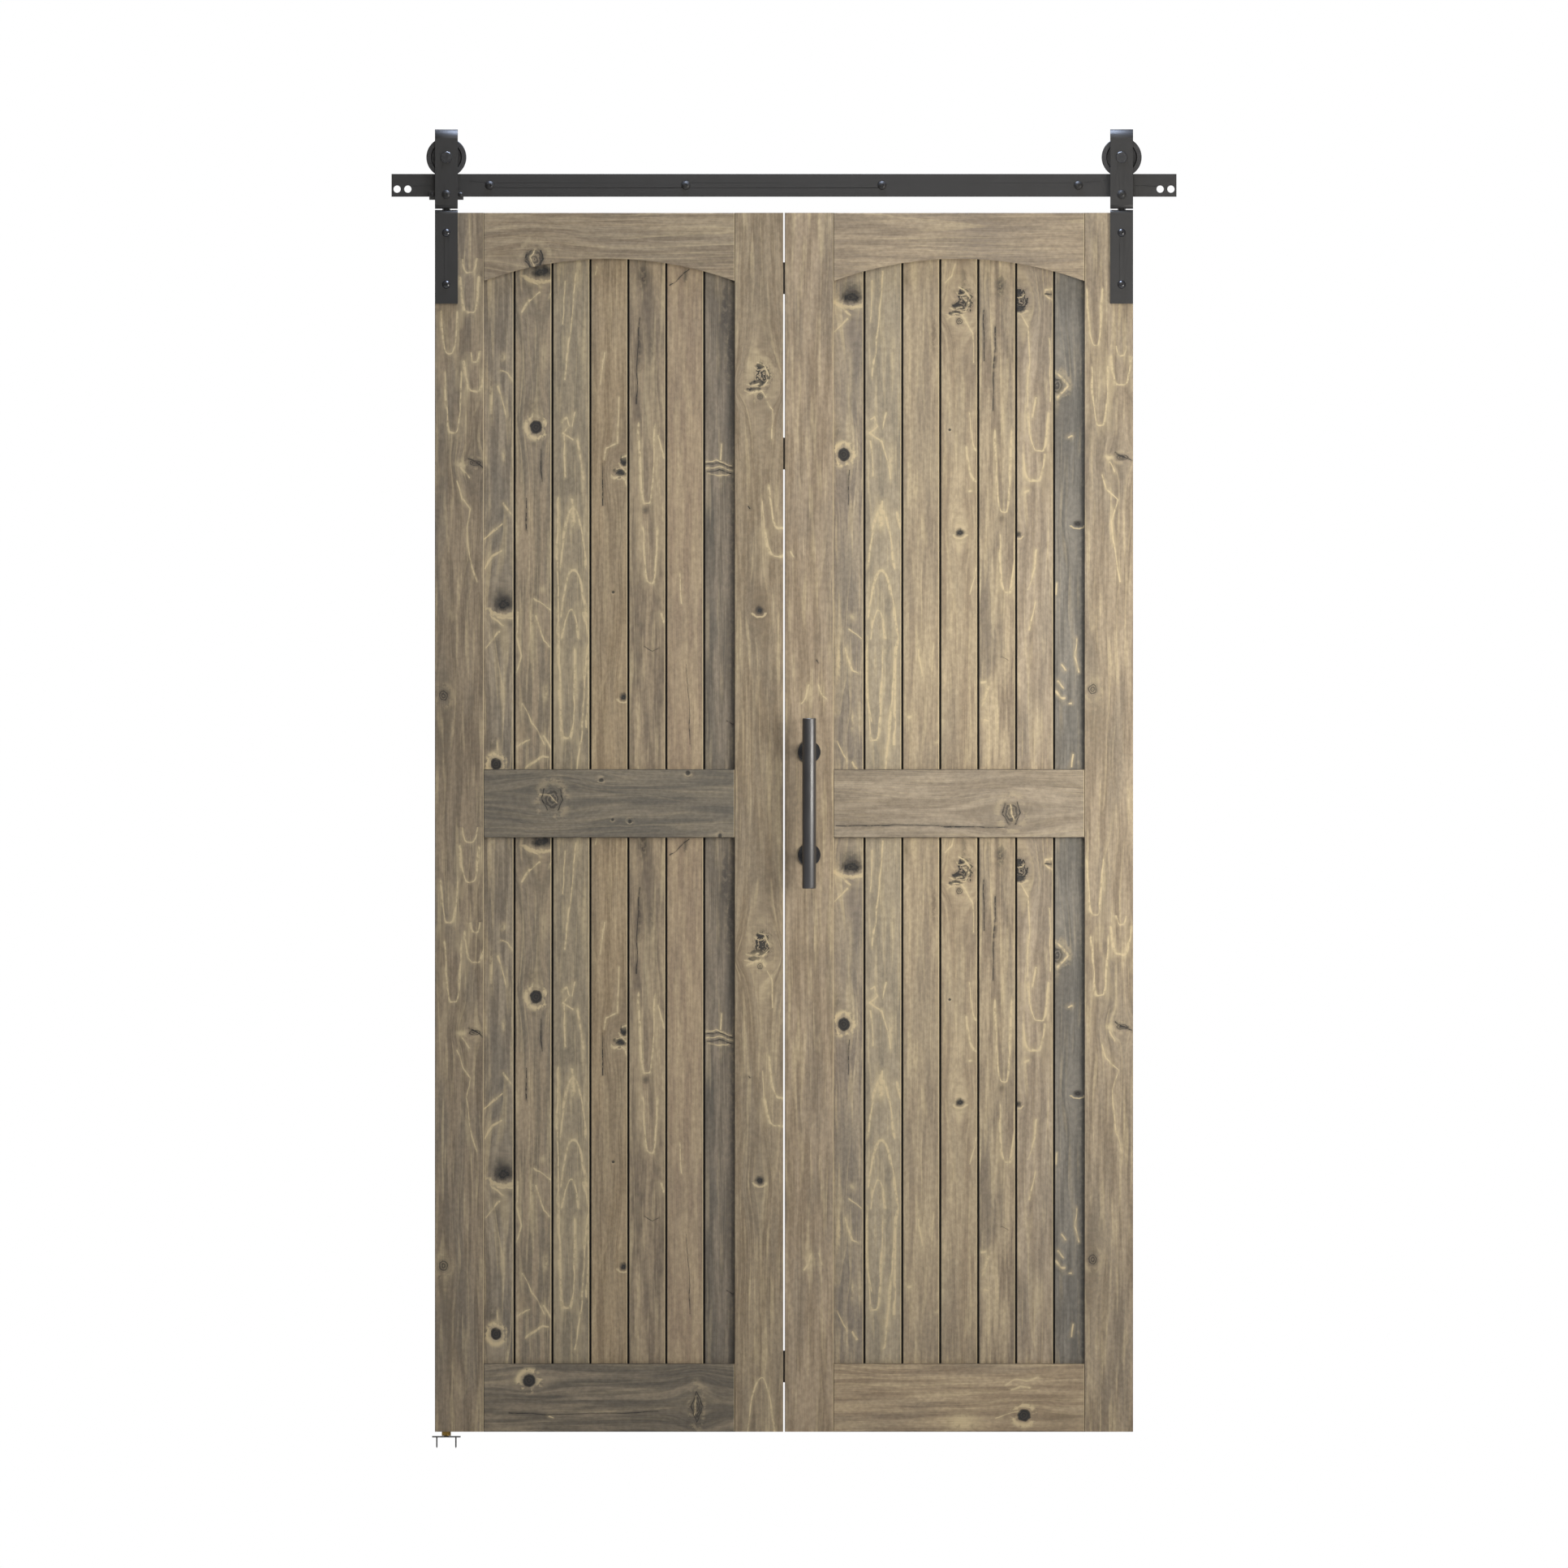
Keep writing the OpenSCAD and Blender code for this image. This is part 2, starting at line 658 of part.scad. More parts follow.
module floor_bracket() {
    plate_d = 32;
    corner_r = 4;
    color(black) translate([-pivot_x, track_y, floor_z]) difference() {
        union() {
            for (sx = [-1, 1], sy = [-1, 1])
                translate([sx * (floor_plate_w / 2 - corner_r), sy * (plate_d / 2 - corner_r), 0])
                    cylinder(r = corner_r, h = floor_plate_t);
            block([-floor_plate_w / 2, -plate_d / 2 + corner_r, 0], [floor_plate_w / 2, plate_d / 2 - corner_r, floor_plate_t]);
            block([-floor_plate_w / 2 + corner_r, -plate_d / 2, 0], [floor_plate_w / 2 - corner_r, plate_d / 2, floor_plate_t]);
            cylinder(r = floor_pin_r, h = floor_plate_t + 32);
        }
        for (side = [-1, 1]) translate([side * floor_screw_pitch / 2, 0, 0]) {
            translate([0, 0, -over]) cylinder(r = 1.7, h = floor_plate_t + 2 * over);
            translate([0, 0, floor_plate_t - 1.6]) cylinder(r1 = 1.7, r2 = 3, h = 1.6);
        }
    }
}

module floor_screws() {
    color(black) for (side = [-1, 1])
        translate([-pivot_x + side * floor_screw_pitch / 2, track_y, floor_z + floor_plate_t - tiny])
            flat_screw(2.8, 1.5, 1.6, floor_plate_t - tiny, 1.2, 16, 3.5);
}

module at_pivot(side) translate([side * pivot_x, 0, 0]) children();

module on_right() mirror([1, 0, 0]) children();

// ---- what each node holds ----

track_bar();
track_spacers();
track_lag_screws();
at_pivot(-1) hanger_strap();  // left_hanger_strap
at_pivot(-1) wheel_body();  // left_wheel
at_pivot(-1) { bearing_outer(); bearing_inner(); }  // left_wheel_bearing
at_pivot(-1) axle_set();  // left_axle_set
at_pivot(-1) clamp_block();
at_pivot(-1) clamp_screws();
floor_bracket();
floor_screws();

outer_stile(true);  // left_outer_stile
inner_stile(false);  // left_inner_stile
top_rail();  // left_top_rail
middle_rail();  // left_middle_rail
bottom_rail();  // left_bottom_rail
for (i = [1:plank_count])
    upper_plank(i);
lower_planks();  // left_lower_planks
at_pivot(-1) door_bracket();  // left_door_bracket
at_pivot(-1) bracket_bolts();  // left_bracket_bolts
at_pivot(-1) pivot_bolt();  // left_pivot_bolt
bottom_pivot_bush();
hinge_plates([0, 2, 4]);  // left_hinge_plates
hinge_screws();  // left_hinge_screws
hinge_pins();

on_right() outer_stile(false);  // right_outer_stile
on_right() inner_stile(true);  // right_inner_stile
on_right() top_rail();  // right_top_rail
on_right() middle_rail();  // right_middle_rail
on_right() bottom_rail();  // right_bottom_rail
for (i = [1:plank_count])
    on_right() upper_plank(i);
on_right() lower_planks();  // right_lower_planks
at_pivot(1) door_bracket();  // right_door_bracket
at_pivot(1) bracket_bolts();  // right_bracket_bolts
at_pivot(1) pivot_bolt();  // right_pivot_bolt
on_right() hinge_plates([1, 3]);  // right_hinge_plates
on_right() hinge_screws();  // right_hinge_screws
handle_bar();
handle_posts();
handle_screws();

at_pivot(1) hanger_strap();  // right_hanger_strap
at_pivot(1) axle_set();  // right_axle_set
at_pivot(1) bearing_inner();  // right_bearing_inner
at_pivot(1) track_block(guide_w, 0.7);  // right_guide_block
at_pivot(1) strap_screw();  // right_strap_screw
at_pivot(1) wheel_body();  // right_wheel
at_pivot(1) bearing_outer();  // right_bearing_outer
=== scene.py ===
import json
import math
from functools import partial

import bpy
from mathutils import Matrix, Vector


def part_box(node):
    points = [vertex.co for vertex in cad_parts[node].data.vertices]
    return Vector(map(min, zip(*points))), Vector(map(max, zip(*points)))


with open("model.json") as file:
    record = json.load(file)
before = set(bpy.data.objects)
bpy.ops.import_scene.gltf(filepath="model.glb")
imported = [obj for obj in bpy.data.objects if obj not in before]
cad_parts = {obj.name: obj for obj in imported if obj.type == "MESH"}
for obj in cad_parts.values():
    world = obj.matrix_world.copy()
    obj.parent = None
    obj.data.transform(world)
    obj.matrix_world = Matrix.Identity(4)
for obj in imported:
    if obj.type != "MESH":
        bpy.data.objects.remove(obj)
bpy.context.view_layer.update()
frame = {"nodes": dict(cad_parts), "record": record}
nodes = frame["nodes"]
mm = 0.001
print("frame loaded:", len(nodes), "pieces")

smooth = {"interpolation_type": "SMOOTHSTEP"}  # a ramp with soft ends
blended = {"data_type": "RGBA"}  # two colours, mixed by a share


def hexLinear(code):  # sRGB hex to linear red, green, blue, alpha
    parts = [int(code[i:i + 2], 16) / 255 for i in (1, 3, 5)]
    return (*[c / 12.92 if c <= 0.04045 else ((c + 0.055) / 1.055) ** 2.4 for c in parts], 1.0)


def addNode(tree, kind, choice=None, *values, **named):
    # choice is the node's operation or its settings; values go to its live sockets in turn, or by name
    node = tree.nodes.new("ShaderNode" + kind)
    settings = {"operation": choice} if isinstance(choice, str) else choice or {}
    for name, value in settings.items():
        setattr(node, name, value)
    live = [socket for socket in node.inputs if socket.enabled]
    for socket, value in [*zip(live, values), *((node.inputs[name], value) for name, value in named.items())]:
        if isinstance(value, bpy.types.NodeSocket):
            tree.links.new(value, socket)
        else:
            socket.default_value = value
    return next((socket for socket in node.outputs if socket.enabled), node)


def newGroup(name, inputs, outputs):  # an empty node group, its node adder, and its input sockets by name
    tree = bpy.data.node_groups.new(name, "ShaderNodeTree")
    for side, sockets in (("INPUT", inputs), ("OUTPUT", outputs)):
        for socket, kind in sockets.items():
            tree.interface.new_socket(name=socket, in_out=side, socket_type="NodeSocket" + kind)
    return tree, partial(addNode, tree), tree.nodes.new("NodeGroupInput").outputs


def closeGroup(tree, results):
    end = tree.nodes.new("NodeGroupOutput")
    for name, socket in results.items():
        tree.links.new(socket, end.inputs[name])


def newMaterial(name):
    material = bpy.data.materials.new(name)
    material.use_nodes = True
    tree = material.node_tree
    return material, partial(addNode, tree), tree.links, tree.nodes["Principled BSDF"].inputs


def dress(names, material):  # gives CAD pieces their finish
    for name in names:
        slots = nodes[name].data.materials
        slots.clear()
        slots.append(material)


# Knotty pine, stained grey brown and then brushed. The soft wood stays dull and mottled, the brush bares the hard
# late wood as cream lines. Painted shade darkens the joints' bottoms, a painted highlight the bevels facing the
# light.
# Patterns are in millimetres on the board: x across the grain, y along it, z into it.

stain = dict(
    cream="#c6b48f",  # hard late wood that the brush cleared of stain; also the painted highlights on bevels, arrises and knots' lower lips
    heart="#2b2927",  # middle of a knot
    rim="#5b5244",  # a knot's rings
    soot="#2a2725",  # cracks and pits
    pooled="#191613",  # painted shade in the bottoms of the plank joints and along the shaded arris of each frame seam
    damp="#6d675d",  # greyer, weathered stretches
    sheenLow=0.6,
    sheenHigh=0.82,
    relief=0.5,  # how deep the brushed grain is, mm
    hollow=0.5,  # how far a knot lies below the face
    ior=1.5,
)

grain = dict(  # widths across and lengths along the board of each pattern
    fibre=(2.6, 46),  # real fibres are under 0.1 mm, drawn this coarse to show at all
    streak=(12, 170),
    pale=(8, 120),
    damp=(42, 260),
    kept=(34, 210),  # where late wood lines show
    waver=(11, 95),  # small waves of the growth rings
    cloud=(5.5, 8.8),  # cloudy cross grain
    wobble=(16, 48),  # how drawn lines wander and thicken
    grit=(7, 9),  # what breaks them up
    wander=(60, 330),  # how the pith strays along the board
)

rings = dict(bowWidth=30, pithWander=14.0, wander=5.0, waver=2.2, depth=0.5, part=0.85)
lineShape = dict(sway=3.5, softFrom=2.7, softTo=0.3, soft=0.24, coreFrom=0.75, coreTo=0.15)  # in line widths
knotShape = dict(edge=1.08, circles=17.0, haloAt=1.65, haloTight=2.3)  # in radii from the knot's middle
# painted highlight and painted shade along the frame boards' arrises: width and core in mm, and strength
seam = dict(width=1.5, core=0.6, strength=0.7)

# one growth ring from early to late wood: place in the ring and brightness
ringProfile = ((0.0, 0.0), (0.62, 0.0), (0.84, 0.55), (0.93, 1.0), (0.985, 0.15))


def boardNoise(add, place, seed, size, detail):  # noise stretched along the board
    across, along = size
    spread = add("VectorMath", "MULTIPLY_ADD", place, (1 / across, 1 / along, 1 / across), seed)
    return add("TexNoise", None, Vector=spread, Scale=1.0, Detail=detail, Roughness=0.55)


def buildNearPoint():  # how near a place on the board is to a point, in reaches
    tree, add, given = newGroup("nearPoint", {"Place": "Vector", "Centre": "Vector", "Reach": "Vector"},
                                {"Falloff": "Float", "Square": "Float", "Offset": "Vector", "Scaled": "Vector"})
    offset = add("VectorMath", "SUBTRACT", given["Place"], given["Centre"])
    scaled = add("VectorMath", "DIVIDE", offset, given["Reach"])
    square = add("VectorMath", "DOT_PRODUCT", scaled, scaled)
    falloff = add("Math", "EXPONENT", add("Math", "MULTIPLY", square, -1.0))
    closeGroup(tree, {"Falloff": falloff, "Square": square, "Offset": offset, "Scaled": scaled})
    return tree


def buildGrainBend():  # the grain flows round a knot
    tree, add, given = newGroup("grainBend", {"Place": "Vector", "Centre": "Vector", "Reach": "Vector"},
                                {"Place": "Vector"})
    near = add("Group", {"node_tree": nearPoint}, given["Place"], given["Centre"], given["Reach"])
    sideways = add("CombineXYZ", None, add("Math", "MULTIPLY", near, -rings["part"]))
    bent = add("VectorMath", "MULTIPLY_ADD", near.node.outputs["Offset"], sideways, given["Place"])
    closeGroup(tree, {"Place": bent})
    return tree


def buildPineFigure():  # growth rings cut by the face, with fibres, streaks and weathering
    tree, add, given = newGroup(
        "pineFigure",
        {"Place": "Vector", "Wander": "Float", "Seed": "Vector", "Pith": "Float", "Curve": "Float",
         "Tilt": "Float", "Gap": "Float", "Lines": "Float", "Weather": "Float", "Light": "Color", "Dark": "Color",
         "Patch": "Color", "Pale": "Float"}, {"Colour": "Color"})
    noise = partial(boardNoise, add, given["Place"], given["Seed"])
    cream = hexLinear(stain["cream"])
    place = add("SeparateXYZ", None, given["Place"]).node.outputs
    fromPith = add("Math", "SUBTRACT", place["X"], given["Pith"])
    fromPith = add("Math", "MULTIPLY_ADD", given["Wander"], rings["pithWander"], fromPith)
    bow = add("Math", "ABSOLUTE", add("Math", "MULTIPLY", fromPith, 1 / rings["bowWidth"]))
    bow = add("Math", "POWER", bow, 2.0)
    ring = add("Math", "MULTIPLY", bow, given["Curve"])
    ring = add("Math", "MULTIPLY_ADD", add("Math", "MULTIPLY", place["Y"], mm), given["Tilt"], ring)
    ring = add("Math", "MULTIPLY_ADD", given["Wander"], rings["wander"], ring)
    ring = add("Math", "MULTIPLY_ADD", noise(grain["waver"], 1.0), rings["waver"], ring)
    ring = add("Math", "MULTIPLY_ADD", place["Z"], rings["depth"], ring)
    phase = add("Math", "FRACT", add("Math", "DIVIDE", ring, given["Gap"]))
    line = add("ValToRGB", None, phase)
    stops = line.node.color_ramp.elements
    for at, bright in ringProfile:
        stop = stops[0] if at == 0 else stops.new(at)
        stop.color = (bright, bright, bright, 1)
    stops[-1].color = (0, 0, 0, 1)
    kept = add("MapRange", smooth, noise(grain["kept"], 1.0), 0.44, 0.6)
    lines = add("Math", "MULTIPLY", line, kept)
    lines = add("Math", {"operation": "MULTIPLY", "use_clamp": True}, lines, given["Lines"])
    streak = add("MapRange", smooth, noise(grain["streak"], 2.0), 0.37, 0.63)
    damp = add("MapRange", smooth, noise(grain["damp"], 2.0), 0.46, 0.66)
    pale = add("MapRange", smooth, noise(grain["pale"], 1.0), 0.53, 0.72)
    cloud = add("MapRange", smooth, noise(grain["cloud"], 2.0), 0.25, 0.75, 0.86, 1.12)
    fibre = add("MapRange", smooth, noise(grain["fibre"], 2.0), 0.25, 0.75, 0.93, 1.07)
    colour = add("Mix", blended, streak, given["Dark"], given["Light"])
    colour = add("Mix", blended, add("Math", "MULTIPLY", damp, given["Weather"]), colour, given["Patch"])
    colour = add("Mix", blended, add("Math", "MULTIPLY", pale, given["Pale"]), colour, cream)
    colour = add("Mix", blended, lines, colour, cream)
    colour = add("VectorMath", "SCALE", colour, add("Math", "MULTIPLY", fibre, cloud))
    closeGroup(tree, {"Colour": colour})
    return tree


def buildPineKnot():  # one knot: a dark middle, cream where the grain parts, and a painted highlight on the lip under it
    tree, add, given = newGroup(
        "pineKnot",
        {"Colour": "Color", "Place": "Vector", "Noise": "Float", "Centre": "Vector", "Radius": "Vector",
         "Down": "Vector", "Patches": "Float", "Core": "Float", "Halo": "Float", "Ragged": "Float", "Soft": "Float",
         "LipCutAndHighlight": "Float", "Whorl": "Float"},
        {"Colour": "Color"})
    near = add("Group", {"node_tree": nearPoint}, given["Place"], given["Centre"], given["Radius"])
    below = add("VectorMath", "DOT_PRODUCT", near.node.outputs["Scaled"], given["Down"])
    blunt = add("Math", "MULTIPLY", add("Math", "MAXIMUM", below, 0.0), given["LipCutAndHighlight"])  # cut off sharply below
    distance = add("Math", "SQRT", add("Math", "MULTIPLY_ADD", blunt, blunt, near.node.outputs["Square"]))
    ragged = add("Math", "SUBTRACT", given["Noise"], 0.5)
    ragged = add("Math", "MULTIPLY_ADD", ragged, given["Ragged"], distance)
    core = add("MapRange", smooth, ragged, knotShape["edge"], add("Math", "SUBTRACT", 1.0, given["Soft"]))
    core = add("Math", "MULTIPLY", core, given["Core"])
    circles = add("Math", "SINE", add("Math", "MULTIPLY", ragged, knotShape["circles"]))
    circles = add("MapRange", smooth, circles, -0.2, 1.0)
    clear = add("Math", "SUBTRACT", 1.0, add("Math", "MULTIPLY", circles, given["Whorl"]))
    core = add("Math", "MULTIPLY", core, clear)
    patchy = add("MapRange", smooth, add("Math", "ADD", given["Patches"], given["Noise"]), 0.9, 1.12)
    band = add("Math", "SUBTRACT", ragged, knotShape["haloAt"])
    band = add("Math", "MULTIPLY", band, knotShape["haloTight"])
    halo = add("Math", "EXPONENT", add("Math", "MULTIPLY", add("Math", "MULTIPLY", band, band), -1.0))
    halo = add("Math", "MULTIPLY", add("Math", "MULTIPLY", halo, patchy), given["Halo"])
    # painted highlight: a cream crescent along the knot's lower lip, as if lit from above
    lipHighlight = add("Math", "MULTIPLY", add("MapRange", smooth, ragged, 1.0, 1.15),
              add("MapRange", smooth, ragged, 1.55, 1.3))
    lipHighlight = add("Math", "MULTIPLY", lipHighlight, add("MapRange", smooth, below, 0.15, 0.4))
    lipHighlight = add("Math", "MULTIPLY", lipHighlight, given["LipCutAndHighlight"])
    bright = add("Math", {"operation": "ADD", "use_clamp": True}, halo, lipHighlight)
    colour = add("Mix", blended, bright, given["Colour"], hexLinear(stain["cream"]))
    ringed = add("Math", "MULTIPLY", circles, add("Math", "MAXIMUM", given["Whorl"], 0.25))
    middle = add("Mix", blended, ringed, hexLinear(stain["heart"]), hexLinear(stain["rim"]))
    closeGroup(tree, {"Colour": add("Mix", blended, core, colour, middle)})
    return tree


def buildPineBlot():  # a soft stretch of another tone, broken up by the grain
    tree, add, given = newGroup(
        "pineBlot", {"Colour": "Color", "Place": "Vector", "Noise": "Float", "Centre": "Vector", "Reach": "Vector",
                     "Tone": "Color", "Strength": "Float"}, {"Colour": "Color"})
    near = add("Group", {"node_tree": nearPoint}, given["Place"], given["Centre"], given["Reach"])
    share = add("Math", "MULTIPLY", near, add("MapRange", smooth, given["Noise"], 0.3, 0.58, 0.3, 1.0))
    share = add("Math", {"operation": "MULTIPLY", "use_clamp": True}, share, given["Strength"])
    closeGroup(tree, {"Colour": add("Mix", blended, share, given["Colour"], given["Tone"])})
    return tree


def buildNearStroke():  # distance in mm from a straight stretch of a line
    tree, add, given = newGroup(
        "nearStroke", {"Place": "Vector", "Start": "Vector", "Along": "Vector", "Other": "Float"},
        {"Distance": "Float"})
    along = given["Along"]
    offset = add("VectorMath", "SUBTRACT", given["Place"], given["Start"])
    part = add("Math", {"operation": "DIVIDE", "use_clamp": True},
               add("VectorMath", "DOT_PRODUCT", offset, along), add("VectorMath", "DOT_PRODUCT", along, along))
    distance = add("VectorMath", "DISTANCE", offset, add("VectorMath", "SCALE", along, part))
    closeGroup(tree, {"Distance": add("Math", "MINIMUM", distance, given["Other"])})
    return tree


def buildNearArch():  # distance in mm from a cathedral line with its tip at Tip; Power 2 is pointed, 4 is blunt
    tree, add, given = newGroup(
        "nearArch", {"Place": "Vector", "Tip": "Vector", "Half": "Float", "Length": "Float", "Power": "Float"},
        {"Distance": "Float"})
    offset = add("VectorMath", "SUBTRACT", given["Place"], given["Tip"])
    parts = add("SeparateXYZ", None, offset).node.outputs
    across = add("Math", "ABSOLUTE", add("Math", "DIVIDE", parts["X"], given["Half"]))
    along = add("Math", "DIVIDE", parts["Y"], given["Length"])
    curve = add("Math", "POWER", across, given["Power"])
    gap = add("Math", "ABSOLUTE", add("Math", "SUBTRACT", curve, along))
    slope = add("Math", "DIVIDE", curve, add("Math", "MAXIMUM", across, 0.05))
    slope = add("Math", "DIVIDE", add("Math", "MULTIPLY", slope, given["Power"]), given["Half"])
    steep = add("Math", "DIVIDE", 1.0, given["Length"])
    slope = add("Math", "SQRT", add("Math", "ADD", add("Math", "MULTIPLY", slope, slope),
                                    add("Math", "MULTIPLY", steep, steep)))
    ended = add("MapRange", smooth, along, 0.8, 1.05, 0.0, 30.0)
    closeGroup(tree, {"Distance": add("Math", "ADD", add("Math", "DIVIDE", gap, slope), ended)})
    return tree


nearPoint = buildNearPoint()
grainBend = buildGrainBend()
pineFigure = buildPineFigure()
pineKnot = buildPineKnot()
pineBlot = buildPineBlot()
nearStroke = buildNearStroke()
nearArch = buildNearArch()

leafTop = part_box("left_outer_stile")[1].z
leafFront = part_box("left_outer_stile")[0].y
panelRepeat = 997.2  # from an upper board's figure down to the same figure in the lower board, mm
panelStart = 60
upright = Matrix.Rotation(math.radians(90), 3, "X").to_euler()  # x, z, y of the row to across, down, in
lying = Matrix(((0, 0, 1), (1, 0, 0), (0, 1, 0))).to_euler()  # grain along the row's x

# a plank's bevelled joint, mm: its face is plankHalf from the leaf's middle plane; where the painted highlight and
# the painted shade sit
joint = dict(leafMiddle=17.5, plankHalf=8, paintedHighlightFrom=1.8, paintedHighlightTo=0.9, paintedShadeFrom=0.1, paintedShadeTo=0.8, paintedHighlight=0.8)

knotKinds = dict(
    round=dict(Core=1.0, Halo=1.1, Ragged=0.35, Soft=0.15, LipCutAndHighlight=0.0, Whorl=0.0),
    ringed=dict(Core=0.7, Halo=0.3, Ragged=0.5, Soft=0.3, LipCutAndHighlight=0.0, Whorl=0.7),
    whorl=dict(Core=0.95, Halo=0.2, Ragged=1.2, Soft=0.3, LipCutAndHighlight=0.0, Whorl=0.9),
    dark=dict(Core=1.0, Halo=0.0, Ragged=1.3, Soft=0.45, LipCutAndHighlight=0.6, Whorl=0.0),
    smudge=dict(Core=1.0, Halo=0.0, Ragged=0.7, Soft=0.7, LipCutAndHighlight=0.8, Whorl=0.0),
    pin=dict(Core=0.9, Halo=0.2, Ragged=0.6, Soft=0.5, LipCutAndHighlight=0.3, Whorl=0.0),
)


def drawLine(add, colour, distance, width, noises, tone):  # broken, of uneven width, with a soft edge
    grit, wobble = noises
    reach = {edge: width * lineShape[edge] for edge in ("softFrom", "softTo", "coreFrom", "coreTo")}
    near = add("Math", "DIVIDE", distance, add("MapRange", smooth, wobble, 0.34, 0.62, 0.6, 1.5))
    broken = add("MapRange", smooth, grit, 0.34, 0.54, 0.3, 1.0)
    soft = add("MapRange", smooth, near, reach["softFrom"], reach["softTo"])
    soft = add("Math", "MULTIPLY", soft, lineShape["soft"])
    core = add("MapRange", smooth, near, reach["coreFrom"], reach["coreTo"])
    core = add("Math", "MULTIPLY", core, broken)
    colour = add("Mix", blended, soft, colour, hexLinear(stain[tone]))
    return add("Mix", blended, core, colour, hexLinear(stain[tone]))


